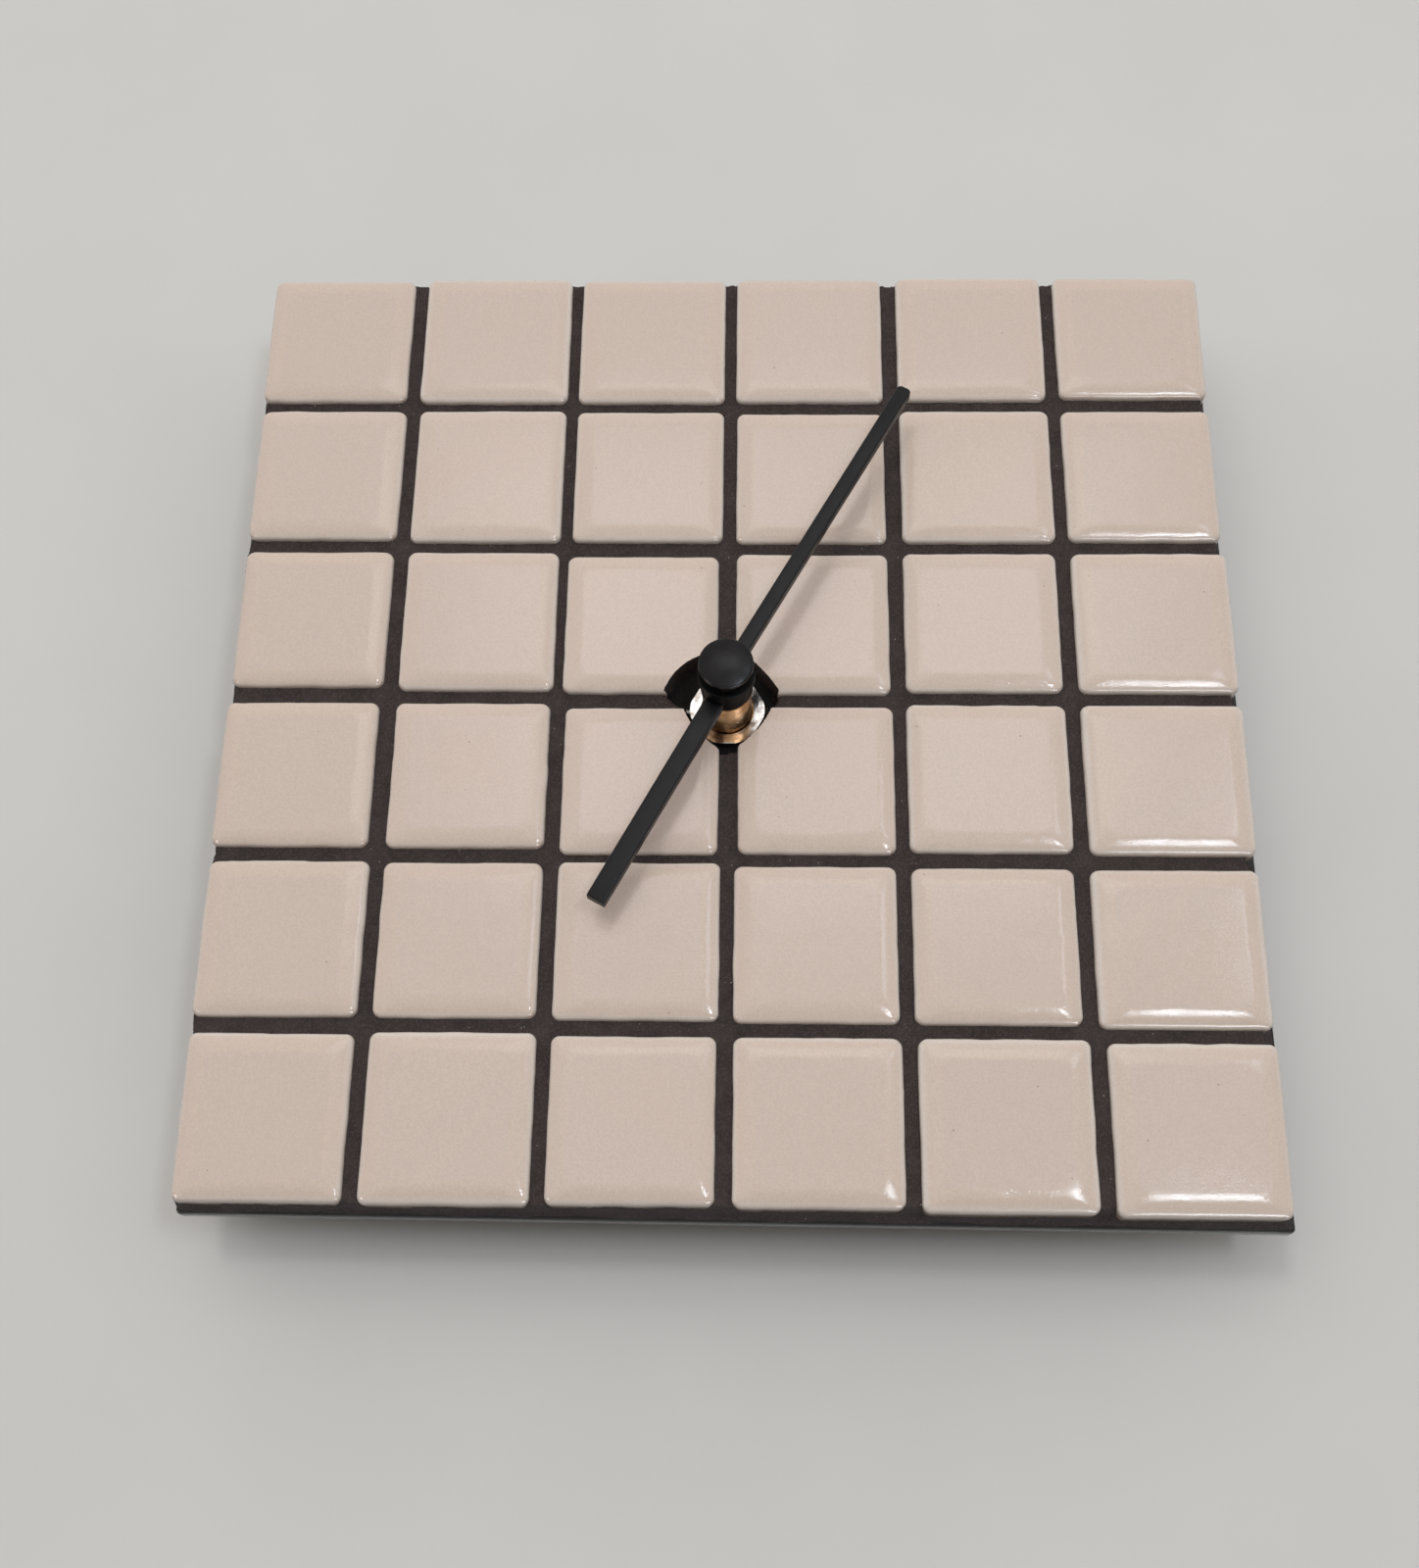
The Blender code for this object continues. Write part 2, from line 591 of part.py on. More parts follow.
def make_gasket():
    """The rubber washer between the movement and the board."""
    hole = THREAD_RADIUS + BOARD_HOLE_CLEARANCE
    front = GASKET_REAR + GASKET_THICKNESS
    profile = [(hole, GASKET_REAR), (GASKET_RADIUS, GASKET_REAR), (GASKET_RADIUS, front), (hole, front)]
    rubber = finish("gasket_rubber", (0.02, 0.02, 0.02), 0.8)
    return soften(turned("rubber_gasket", profile, closed=True, material=rubber))


# Wheels

def gear_outline(centre, teeth, module, phase):
    """Straight-sided teeth about a centre; phase is the angle of one tooth in radians.

    A pinion has flat roots between its leaves and a wheel has V-shaped ones.
    """
    pitch_radius = module * teeth / 2
    step = 2 * math.pi / teeth
    if teeth <= PINION_MOST_TEETH:
        tip, root = pitch_radius + 0.75 * module, pitch_radius - 1.05 * module
        corners = [(root, -0.21), (tip, -0.10), (tip, 0.10), (root, 0.21)]
    else:
        tip, root = pitch_radius + 0.8 * module, pitch_radius - 1.5 * module
        corners = [(root, -0.5), (tip, -0.09), (tip, 0.09)]
    points = []
    for i in range(teeth):
        for radius, share in corners:
            angle = phase + step * (i + share)
            points.append((centre[0] + radius * math.cos(angle), centre[1] + radius * math.sin(angle)))
    return points


def meshed_phase(axis_a, teeth_a, phase_a, axis_b, teeth_b):
    """The tooth angle of wheel b that puts its teeth between those of wheel a."""
    line = math.atan2(axis_b[1] - axis_a[1], axis_b[0] - axis_a[0])
    return line + math.pi - teeth_a / teeth_b * (phase_a - line) - math.pi / teeth_b


CANNON_PHASE = 0.0
SETTING_PHASE = meshed_phase(HUB, CANNON_TEETH, CANNON_PHASE, SETTING_AXIS, SETTING_TEETH)
HOUR_PHASE = meshed_phase(SETTING_AXIS, SETTING_PINION_TEETH, 0.0, HUB, HOUR_TEETH)
CENTRE_PHASE = meshed_phase(THIRD_AXIS, LEAVES, 0.0, HUB, CENTRE_TEETH)
THIRD_PHASE = meshed_phase(SECOND_AXIS, LEAVES, 0.0, THIRD_AXIS, THIRD_TEETH)
SECOND_PHASE = meshed_phase(FIFTH_AXIS, LEAVES, 0.0, SECOND_AXIS, SECOND_TEETH)
FIFTH_PHASE = meshed_phase(ROTOR_AXIS, LEAVES, 0.0, FIFTH_AXIS, FIFTH_TEETH)


def shaft(name, centre, sections, steps, **options):
    """A stepped round shaft from (radius, rear, front) sections, listed from rear to front."""
    profile = [(0, sections[0][1])]
    for radius, rear, front in sections:
        profile += [(radius, rear), (radius, front)]
    profile.append((0, sections[-1][2]))
    return turned(name, profile, centre=centre, steps=steps, axis_point=centre, **options)


def make_train_wheel(name, axis, front, teeth, module, phase, pinion_front, pinion_module):
    """A train wheel on its arbor, with a six-leaf pinion in front of it and a pivot at each end."""
    white = finish("wheel_plastic", (0.80, 0.79, 0.74), 0.4)
    shoulder = pinion_front + PINION_PROUD + SHOULDER
    sections = [(PIVOT_RADIUS, REAR_SHOULDER - PIVOT_LENGTH, REAR_SHOULDER),
                (ARBOR_RADIUS, REAR_SHOULDER, shoulder),
                (PIVOT_RADIUS, shoulder, shoulder + PIVOT_LENGTH)]
    wheel = shaft(name, axis, sections, PIVOT_STEPS, material=white)
    add(wheel, prism("teeth", gear_outline(axis, teeth, module, phase), front - WHEEL_FACE, front))
    pinion = gear_outline(axis, LEAVES, pinion_module, 0.0)
    add(wheel, prism("leaves", pinion, front - WHEEL_FACE / 2, pinion_front + PINION_PROUD))
    return soften(wheel, 25)


def make_rotor():
    """The magnet rotor, whose pinion at the rear drives the fifth wheel."""
    grey = finish("rotor_magnet", (0.16, 0.15, 0.15), 0.5)
    shoulder = MAGNET_FRONT + SHOULDER
    rear = MAGNET_FRONT - MAGNET_LENGTH
    sections = [(PIVOT_RADIUS, REAR_SHOULDER - PIVOT_LENGTH, REAR_SHOULDER),
                (ARBOR_RADIUS, REAR_SHOULDER, rear), (MAGNET_RADIUS, rear, MAGNET_FRONT),
                (ARBOR_RADIUS, MAGNET_FRONT, shoulder),
                (PIVOT_RADIUS, shoulder, shoulder + PIVOT_LENGTH)]
    rotor = shaft("rotor", ROTOR_AXIS, sections, MOTOR_STEPS, material=grey)
    pinion = gear_outline(ROTOR_AXIS, LEAVES, ROTOR_MODULE, 0.0)
    rear_face = FIFTH_WHEEL_FRONT - WHEEL_FACE - PINION_PROUD
    add(rotor, prism("leaves", pinion, rear_face, FIFTH_WHEEL_FRONT + PINION_PROUD))
    return soften(rotor, 25)


def make_centre_wheel():
    """The centre wheel, which grips the minute arbor by friction."""
    white = finish("wheel_plastic", (0.80, 0.79, 0.74), 0.4)
    front = SETTING_WHEEL_FRONT - MOTION_FACE - SEAT_GAP
    wheel = turned("centre_wheel", [(0, CENTRE_HUB_REAR), (CENTRE_HUB_RADIUS, CENTRE_HUB_REAR),
                                    (CENTRE_HUB_RADIUS, front), (0, front)], material=white)
    outline = gear_outline(HUB, CENTRE_TEETH, CENTRE_MODULE, CENTRE_PHASE)
    add(wheel, prism("teeth", outline, CENTRE_WHEEL_FRONT - WHEEL_FACE, CENTRE_WHEEL_FRONT))
    hole = bore(MINUTE_REAR_RADIUS)
    cut(wheel, turned("bore", [(hole, CENTRE_HUB_REAR - 1), (hole, front + 1)]))
    return soften(wheel, 25)


def make_minute_arbor():
    """The minute arbor with its cannon pinion, from the rear cover to the cap."""
    steel = finish("arbor_steel", (0.55, 0.55, 0.56), 0.3, 1.0)
    pinion_rear = SETTING_WHEEL_FRONT - MOTION_FACE
    rear = COVER_THICKNESS + 2 * SEAT_GAP
    arbor = shaft("minute_arbor", HUB, [(MINUTE_REAR_RADIUS, rear, pinion_rear + MOTION_FACE / 2),
                                        (MINUTE_SHAFT_RADIUS, pinion_rear + MOTION_FACE / 2,
                                         MINUTE_SHAFT_FRONT)], ROUND_STEPS, material=steel)
    outline = gear_outline(HUB, CANNON_TEETH, MOTION_MODULE, CANNON_PHASE)
    add(arbor, prism("leaves", outline, pinion_rear, SETTING_WHEEL_FRONT))
    return soften(arbor, 25)


def make_hour_wheel():
    """The hour wheel and the pipe that carries the hour hand round the minute arbor."""
    white = finish("wheel_plastic", (0.80, 0.79, 0.74), 0.4)
    front = HOUR_HAND_FRONT - SEAT_GAP
    rear = HOUR_WHEEL_FRONT - MOTION_FACE
    wheel = turned("hour_wheel", [(0, rear + MOTION_FACE / 3), (HOUR_PIPE_RADIUS, rear + MOTION_FACE / 3),
                                  (HOUR_PIPE_RADIUS, front), (0, front)], material=white)
    add(wheel, prism("teeth", gear_outline(HUB, HOUR_TEETH, HOUR_MODULE, HOUR_PHASE), rear, HOUR_WHEEL_FRONT))
    hole = bore(MINUTE_SHAFT_RADIUS)
    cut(wheel, turned("bore", [(hole, rear - 1), (hole, front + 1)]))
    return soften(wheel, 25)


def make_setting_wheel():
    """The setting wheel in one moulding: pinion and wheel inside, ribbed knob at the rear."""
    white = finish("setting_plastic", (0.82, 0.81, 0.78), 0.4)
    shoulder = HOUR_WHEEL_FRONT + SHOULDER
    knob_rear = SEAT_GAP
    sections = [(SETTING_ARBOR_RADIUS, knob_rear + KNOB_THICKNESS / 2, shoulder),
                (SETTING_PIVOT_RADIUS, shoulder, shoulder + SETTING_PIVOT_LENGTH)]
    wheel = shaft("setting_wheel", SETTING_AXIS, sections, ROUND_STEPS, material=white)
    teeth = gear_outline(SETTING_AXIS, SETTING_TEETH, MOTION_MODULE, SETTING_PHASE)
    add(wheel, prism("teeth", teeth, SETTING_WHEEL_FRONT - MOTION_FACE, SETTING_WHEEL_FRONT))
    leaves = gear_outline(SETTING_AXIS, SETTING_PINION_TEETH, HOUR_MODULE, 0.0)
    add(wheel, prism("leaves", leaves, SETTING_WHEEL_FRONT - MOTION_FACE / 2, HOUR_WHEEL_FRONT))
    knob = []
    for i in range(KNOB_RIBS * 2):
        radius = KNOB_RADIUS - KNOB_RIB_DEPTH * (i % 2)
        knob.append(step_from(SETTING_AXIS, radius, 180 * i / KNOB_RIBS))
    add(wheel, prism("knob", knob, knob_rear, knob_rear + KNOB_THICKNESS))
    return soften(wheel, 25)


# Movement case

def front_bosses():
    """Each wheel's axis, boss radius, pivot radius, pivot length and shoulder depth at the front."""
    reach = PINION_PROUD + SHOULDER
    train = (BOSS_RADIUS, PIVOT_RADIUS, PIVOT_LENGTH)
    setting = (SETTING_BOSS_RADIUS, SETTING_PIVOT_RADIUS, SETTING_PIVOT_LENGTH)
    return [(THIRD_AXIS, *train, CENTRE_WHEEL_FRONT + reach),
            (SECOND_AXIS, *train, THIRD_WHEEL_FRONT + reach),
            (FIFTH_AXIS, *train, SECOND_WHEEL_FRONT + reach),
            (ROTOR_AXIS, *train, MAGNET_FRONT + SHOULDER),
            (SETTING_AXIS, *setting, HOUR_WHEEL_FRONT + SHOULDER)]


def stator_edges():
    """The left edge of the stator, next to the wall, and its right edge, past the rotor."""
    return (STATOR_WALL_SPACE - CASE_INNER, ROTOR_AXIS[0] + STATOR_REACH)


def stator_posts():
    """Where the two posts stand that carry the stator's legs."""
    height = (ROTOR_AXIS[1] + COIL_CENTRE) / 2
    left, right = stator_edges()
    return [(left + STATOR_LEG / 2, height), (right - STATOR_LEG / 2, height)]


def circuit_edges():
    """The left edge of the circuit board, past the setting wheel, and its right edge at the wall."""
    wheel_tip = MOTION_MODULE * (SETTING_TEETH + 2) / 2
    return (SETTING_AXIS[0] + wheel_tip + CIRCUIT_WHEEL_SPACE, CASE_INNER - SEAT_GAP)


def circuit_posts():
    """Where the two posts stand that carry the circuit board."""
    middle = sum(circuit_edges()) / 2
    low = PARTITION_TOP + 2 * POST_RADIUS + CONTACT_WIDTH / 2
    return [(middle, low), (middle, PARTITION_TOP + CIRCUIT_HEIGHT - POST_RADIUS)]


def hanger_outline():
    """The loop's outer edge, which narrows to a round top and stands in the case's top wall."""
    foot = CASE_HALF - CASE_WALL / 2
    half = HANGER_WIDTH / 2
    top = CASE_HALF + HANGER_HEIGHT - HANGER_CORNER
    return [(half + HANGER_FLARE, foot), *arc((half - HANGER_CORNER, top), HANGER_CORNER, 0, 90, 3),
            *arc((HANGER_CORNER - half, top), HANGER_CORNER, 90, 180, 3), (-half - HANGER_FLARE, foot)]


def hanger_slot():
    """The slot that goes over a nail, with a round seat for it at the top."""
    low = CASE_HALF + HANGER_SLOT_RISE
    shoulder = low + HANGER_SLOT_STRAIGHT
    half = HANGER_SLOT_WIDTH / 2
    seat = arc((0.0, shoulder + HANGER_SEAT_RISE), HANGER_SEAT_RADIUS, 0, 180, 4)
    return [(-half, low), (half, low), (half, shoulder), *seat, (-half, shoulder)]


def make_front_case():
    """The front shell: floor, walls, battery bay, bearing bosses, posts and the hanging loop."""
    black = finish("case_black", (0.025, 0.025, 0.027), 0.5)
    outline = rounded_rectangle(HUB, CASE_SIDE, CASE_SIDE, CASE_CORNER, 3)
    case = prism("movement_front_case", outline, 0.0, CASE_DEPTH, material=black)
    cut(case, box("wheel_room", (-CASE_INNER, PARTITION_TOP), (CASE_INNER, CASE_INNER), -1, FLOOR_DEPTH))
    cut(case, box("battery_bay", (-CASE_INNER, BAY_FLOOR), (CASE_INNER, BAY_TOP), -1, FLOOR_DEPTH))
    slot = CASE_INNER - CONTACT_ROOM
    for side in (-1, 1):
        x = sorted((side * slot, side * CASE_INNER))
        middle = BATTERY_DEPTH + CONTACT_WIDTH / 2
        cut(case, box("slot", (x[0], BAY_TOP - 1), (x[1], PARTITION_TOP + 1), middle, FLOOR_DEPTH))
    cut(case, box("step", (-CASE_INNER, BAY_TOP - 1), (CASE_INNER, PARTITION_TOP + 1),
                  -1, COVER_THICKNESS + SEAT_GAP))
    sunk = FLOOR_DEPTH + CASE_FLOOR / 2
    for axis, boss, pivot, length, shoulder in front_bosses():
        face = shoulder + SEAT_GAP
        add(case, turned("boss", [(0, face), (boss, face), (boss, sunk), (0, sunk)], axis, PIVOT_STEPS))
        socket = bore(pivot, PIVOT_STEPS)
        end = shoulder + length + SEAT_GAP
        cut(case, turned("socket", [(socket, face - 0.5), (socket, end)], axis, PIVOT_STEPS))
    for post in stator_posts():
        face = STATOR_FRONT + SEAT_GAP
        add(case, turned("post", [(0, face), (POST_RADIUS, face), (POST_RADIUS, sunk), (0, sunk)], post, 8))
    for post in circuit_posts():
        face = CIRCUIT_FRONT + SEAT_GAP
        add(case, turned("post", [(0, face), (POST_RADIUS, face), (POST_RADIUS, sunk), (0, sunk)], post, 8))
    loop = prism("loop", hanger_outline(), HANGER_RECESS, HANGER_RECESS + HANGER_THICKNESS)
    cut(loop, prism("slot", hanger_slot(), -1, HANGER_RECESS + HANGER_THICKNESS + 1))
    add(case, loop)
    hole = THREAD_RADIUS + SEAT_GAP
    cut(case, turned("hole", [(hole, FLOOR_DEPTH - 1), (hole, CASE_DEPTH + 1)]))
    return case


def make_rear_cover():
    """The cover over the wheels, with bearing bosses inside and a round window for the knob."""
    black = finish("cover_black", (0.03, 0.03, 0.032), 0.5)
    low = BAY_TOP + SEAT_GAP
    high = CASE_INNER - SEAT_GAP
    centre = (0.0, (low + high) / 2)
    outline = rounded_rectangle(centre, 2 * high, high - low, COVER_CORNER, 3)
    cover = prism("movement_rear_cover", outline, 0.0, COVER_THICKNESS, material=black)
    sunk = COVER_THICKNESS / 2
    for axis in (THIRD_AXIS, SECOND_AXIS, FIFTH_AXIS, ROTOR_AXIS):
        profile = [(0, sunk), (BOSS_RADIUS, sunk), (BOSS_RADIUS, COVER_BOSS_FACE), (0, COVER_BOSS_FACE)]
        add(cover, turned("boss", profile, axis, PIVOT_STEPS))
        socket = bore(PIVOT_RADIUS, PIVOT_STEPS)
        end = REAR_SHOULDER - PIVOT_LENGTH - SEAT_GAP
        cut(cover, turned("socket", [(socket, end), (socket, COVER_BOSS_FACE + 0.5)], axis, PIVOT_STEPS))
    face = CENTRE_HUB_REAR - SEAT_GAP
    add(cover, turned("boss", [(0, sunk), (COVER_HUB_RADIUS, sunk), (COVER_HUB_RADIUS, face), (0, face)]))
    hole = bore(MINUTE_REAR_RADIUS)
    cut(cover, turned("socket", [(hole, COVER_THICKNESS + SEAT_GAP), (hole, face + 0.5)]))
    window = KNOB_RADIUS + SEAT_GAP
    cut(cover, turned("window", [(window, -1), (window, COVER_THICKNESS + 1)], SETTING_AXIS))
    return cover


# Motor, circuit and battery

def make_stator():
    """The stator lamination: a ring round the rotor, two legs and the core of the coil."""
    steel = finish("stator_steel", (0.42, 0.42, 0.43), 0.35, 1.0)
    rear = STATOR_FRONT - STATOR_THICKNESS
    left, right = stator_edges()
    top = ROTOR_AXIS[1]
    low = COIL_CENTRE - CORE_HEIGHT / 2
    stator = box("stator", (left, low), (right, top + STATOR_ARM / 2), rear, STATOR_FRONT)
    stator.data.materials.append(steel)
    cut(stator, box("window", (left + STATOR_LEG, low + CORE_HEIGHT),
                    (right - STATOR_LEG, top - STATOR_ARM / 2), rear - 1, STATOR_FRONT + 1))
    hole = MAGNET_RADIUS + STATOR_GAP
    ring = hole + STATOR_RING
    add(stator, turned("ring", [(0, rear), (ring, rear), (ring, STATOR_FRONT), (0, STATOR_FRONT)], ROTOR_AXIS))
    cut(stator, turned("hole", [(hole, rear - 1), (hole, STATOR_FRONT + 1)], ROTOR_AXIS))
    return stator


def make_coil():
    """The coil on its bobbin, with a slot through it for the stator's core."""
    copper = finish("coil_copper", (0.55, 0.24, 0.10), 0.35, 0.6)
    left, right = stator_edges()
    x = (left + right) / 2
    half = (right - left) / 2 - STATOR_LEG - SEAT_GAP
    middle = STATOR_FRONT - STATOR_THICKNESS / 2
    profile = [(0, x - half), (COIL_FLANGE_RADIUS, x - half), (COIL_FLANGE_RADIUS, x - half + COIL_FLANGE),
               (COIL_RADIUS, x - half + COIL_FLANGE), (COIL_RADIUS, x + half - COIL_FLANGE),
               (COIL_FLANGE_RADIUS, x + half - COIL_FLANGE), (COIL_FLANGE_RADIUS, x + half), (0, x + half)]
    coil = turned_across("coil", profile, middle, COIL_CENTRE, MOTOR_STEPS, material=copper)
    tall = CORE_HEIGHT / 2 + SEAT_GAP
    deep = STATOR_THICKNESS / 2 + SEAT_GAP
    cut(coil, box("slot", (x - half - 1, COIL_CENTRE - tall), (x + half + 1, COIL_CENTRE + tall),
                  middle - deep, middle + deep))
    return soften(coil)


def make_circuit_board():
    """The circuit board along the right wall, with the chip under its drop of resin."""
    green = finish("circuit_green", (0.05, 0.16, 0.08), 0.45)
    left, right = circuit_edges()
    low = PARTITION_TOP + SEAT_GAP
    rear = CIRCUIT_FRONT - CIRCUIT_THICKNESS
    board = box("circuit_board", (left, low), (right, low + CIRCUIT_HEIGHT), rear, CIRCUIT_FRONT)
    board.data.materials.append(green)
    middle = ((left + right) / 2, low + CIRCUIT_HEIGHT / 2)
    profile = [(0, rear - CHIP_HEIGHT), (CHIP_RADIUS * 0.6, rear - CHIP_HEIGHT * 0.8),
               (CHIP_RADIUS, rear + CIRCUIT_THICKNESS / 2), (0, rear + CIRCUIT_THICKNESS / 2)]
    add(board, turned("chip", profile, middle, PIVOT_STEPS))
    return board


def make_battery():
    """The round cell, its raised end to the right."""
    sleeve = finish("battery_sleeve", (0.05, 0.055, 0.06), 0.35)
    right = BATTERY_LENGTH / 2
    shoulder = right - BATTERY_NUB_LENGTH
    profile = [(0, -right), (BATTERY_RADIUS - BATTERY_EDGE, -right), (BATTERY_RADIUS, -right + BATTERY_EDGE),
               (BATTERY_RADIUS, shoulder - BATTERY_EDGE), (BATTERY_RADIUS - BATTERY_EDGE, shoulder),
               (BATTERY_NUB_RADIUS, shoulder), (BATTERY_NUB_RADIUS, right), (0, right)]
    return soften(turned_across("battery", profile, BATTERY_DEPTH, BATTERY_CENTRE, material=sleeve))


def make_contact(name, side):
    """A spring strip at one end of the battery, whose tail runs to the circuit board."""
    plated = finish("contact_nickel", (0.62, 0.61, 0.57), 0.25, 1.0)
    wall = CASE_INNER - SEAT_GAP
    leaf = BATTERY_LENGTH / 2 + SEAT_GAP + CONTACT_THICKNESS
    foot = BATTERY_CENTRE - BATTERY_RADIUS / 2
    head = BATTERY_CENTRE + BATTERY_RADIUS / 2
    outer = [(wall, foot), (leaf, BATTERY_CENTRE), (wall, head)]
    inner = [(x - CONTACT_THICKNESS, z) for x, z in reversed(outer)]
    outline = [(side * x, z) for x, z in outer + inner]
    rear = BATTERY_DEPTH - CONTACT_WIDTH / 2
    front = BATTERY_DEPTH + CONTACT_WIDTH / 2
    strip = prism(name, outline, rear, front, material=plated)
    circuit_rear = CIRCUIT_FRONT - CIRCUIT_THICKNESS
    tail_front = circuit_rear - SEAT_GAP if side > 0 else FLOOR_DEPTH - SEAT_GAP
    x = sorted((side * wall, side * (wall - CONTACT_THICKNESS)))
    end = PARTITION_TOP + CONTACT_WIDTH / 2
    rise = front - CONTACT_WIDTH / 4
    add(strip, box("stem", (x[0], head - CONTACT_THICKNESS), (x[1], BAY_TOP - SEAT_GAP), rise, tail_front))
    tail_rear = front + SEAT_GAP
    add(strip, box("tail", (x[0], head), (x[1], end), tail_rear, tail_front))
    if side < 0:
        low = PARTITION_TOP + SEAT_GAP
        reach = circuit_edges()[0] + CONTACT_WIDTH / 2
        run_rear = tail_front - CONTACT_THICKNESS
        add(strip, box("run", (x[0], low), (reach, low + RUN_WIDTH), run_rear, tail_front))
        add(strip, box("rise", (reach - CONTACT_THICKNESS, low), (reach, low + RUN_WIDTH),
                       CIRCUIT_FRONT + SEAT_GAP, tail_front))
    return strip


def clear_scene():
    """Remove whatever the scene holds."""
    for thing in list(bpy.data.objects):
        bpy.data.objects.remove(thing, do_unlink=True)


def build():
    """Make every piece of the clock."""
    clear_scene()
    make_board()
    make_grout()
    for row in range(TILE_COUNT):
        for column in range(TILE_COUNT):
            make_tile(row, column)
    make_bushing()
    make_nut()
    make_gasket()
    make_front_case()
    make_rear_cover()
    make_minute_arbor()
    make_hour_wheel()
    make_setting_wheel()
    make_centre_wheel()
    make_train_wheel("third_wheel", THIRD_AXIS, THIRD_WHEEL_FRONT, THIRD_TEETH, TRAIN_MODULE,
                     THIRD_PHASE, CENTRE_WHEEL_FRONT, CENTRE_MODULE)
    make_train_wheel("second_wheel", SECOND_AXIS, SECOND_WHEEL_FRONT, SECOND_TEETH, TRAIN_MODULE,
                     SECOND_PHASE, THIRD_WHEEL_FRONT, TRAIN_MODULE)
    make_train_wheel("fifth_wheel", FIFTH_AXIS, FIFTH_WHEEL_FRONT, FIFTH_TEETH, ROTOR_MODULE,
                     FIFTH_PHASE, SECOND_WHEEL_FRONT, TRAIN_MODULE)
    make_rotor()
    make_stator()
    make_coil()
    make_circuit_board()
    make_battery()
    make_contact("contact_positive", 1)
    make_contact("contact_negative", -1)
    make_hand("hour_hand", HOUR_ANGLE, HOUR_WIDTH, HOUR_REACH, HOUR_TIP_ROUND, HOUR_HUB_RADIUS,
              HOUR_PIPE_RADIUS, HOUR_HAND_REAR, HOUR_HAND_FRONT)
    make_hand("minute_hand", MINUTE_ANGLE, MINUTE_WIDTH, MINUTE_REACH, MINUTE_TIP_ROUND, MINUTE_HUB_RADIUS,
              MINUTE_SHAFT_RADIUS, MINUTE_HAND_REAR, MINUTE_HAND_FRONT)
    make_cap()


build()
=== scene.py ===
"""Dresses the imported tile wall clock: glazed mosaic, grout, glass board, hands, hub and movement.

Lengths in the classes are millimetres in the clock's own frame: X to the right as the clock is
seen, -Y towards the viewer, +Z up, the wall at y = 0 and the axis of the hands at x = z = 0.
"""

import logging
import math
from dataclasses import dataclass, field
from enum import Enum
from typing import Iterable, Sequence

import bmesh
import bpy
import numpy as np
from mathutils import Matrix, Vector

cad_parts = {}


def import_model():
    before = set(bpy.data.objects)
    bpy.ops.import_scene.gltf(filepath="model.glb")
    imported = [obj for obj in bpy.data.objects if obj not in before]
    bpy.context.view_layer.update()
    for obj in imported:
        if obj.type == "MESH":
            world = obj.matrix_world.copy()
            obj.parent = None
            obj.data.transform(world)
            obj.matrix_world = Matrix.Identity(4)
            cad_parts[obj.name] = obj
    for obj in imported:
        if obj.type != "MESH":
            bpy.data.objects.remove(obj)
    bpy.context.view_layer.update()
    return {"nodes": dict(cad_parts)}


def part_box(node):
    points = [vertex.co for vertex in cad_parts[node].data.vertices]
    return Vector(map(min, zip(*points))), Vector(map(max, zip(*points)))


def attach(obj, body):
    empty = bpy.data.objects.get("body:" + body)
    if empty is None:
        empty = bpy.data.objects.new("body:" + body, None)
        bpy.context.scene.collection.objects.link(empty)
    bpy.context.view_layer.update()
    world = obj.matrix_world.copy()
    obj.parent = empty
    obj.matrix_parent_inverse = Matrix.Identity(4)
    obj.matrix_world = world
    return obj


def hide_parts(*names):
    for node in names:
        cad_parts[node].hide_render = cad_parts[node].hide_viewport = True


MM = 0.001
FAR_AWAY = 1e9
NEARLY_NOTHING = 1e-12
RIPPLED_SPAN = 200.0
SPARE_POSTS = 3

# The colour mixer's inputs for the share and its two colours, and its colour output.
MIX_SHARE, MIX_FIRST, MIX_SECOND = 0, 6, 7
MIX_RESULT = 2

LOG = logging.getLogger("tile_clock")

Colour = tuple[float, float, float]
Point2 = tuple[float, float]
Point3 = tuple[float, float, float]


def shade(red: int, green: int, blue: int) -> Colour:
    """Turns a display colour, 0 to 255, into the linear colour that a shader takes.

    Args:
        red: Red level.
        green: Green level.
        blue: Blue level.

    Returns:
        The linear colour.
    """
    def linear(level: int) -> float:
        """One channel, from display to linear."""
        share = level / 255
        return share / 12.92 if share <= 0.04045 else ((share + 0.055) / 1.055) ** 2.4

    return (linear(red), linear(green), linear(blue))


class Body(Enum):
    """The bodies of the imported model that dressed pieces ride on."""

    CLOCK = "clock"
    MINUTE = "minute"
    HOUR = "hour"


class Noise(Enum):
    """Patterns a finish can draw from, by their shader node and its output."""

    CLOUDS = ("ShaderNodeTexNoise", "Fac")
    CELLS = ("ShaderNodeTexVoronoi", "Distance")
    GRAINS = ("ShaderNodeTexVoronoi", "Color")


@dataclass(frozen=True)
class Texture:
    """One grey pattern, with its cells or waves in a millimetre and how it is stretched."""

    kind: Noise
    per_mm: float
    detail: float = 2.0
    stretch: Point3 = (1.0, 1.0, 1.0)


def clouds(per_mm: float, detail: float = 2.0, stretch: Point3 = (1.0, 1.0, 1.0)) -> Texture:
    """A cloudy pattern.

    Args:
        per_mm: Clouds in a millimetre.
        detail: Octaves of finer clouds.
        stretch: How much finer it is along each axis.

    Returns:
        The pattern.
    """
    return Texture(Noise.CLOUDS, per_mm, detail, stretch)


@dataclass(frozen=True)
class Specks:
    """Round specks, faded over the levels of their edge, that show only where clouds are dense."""

    per_mm: float
    edge: Point2
    clouds_per_mm: float
    dense: Point2
    strength: float = 1.0


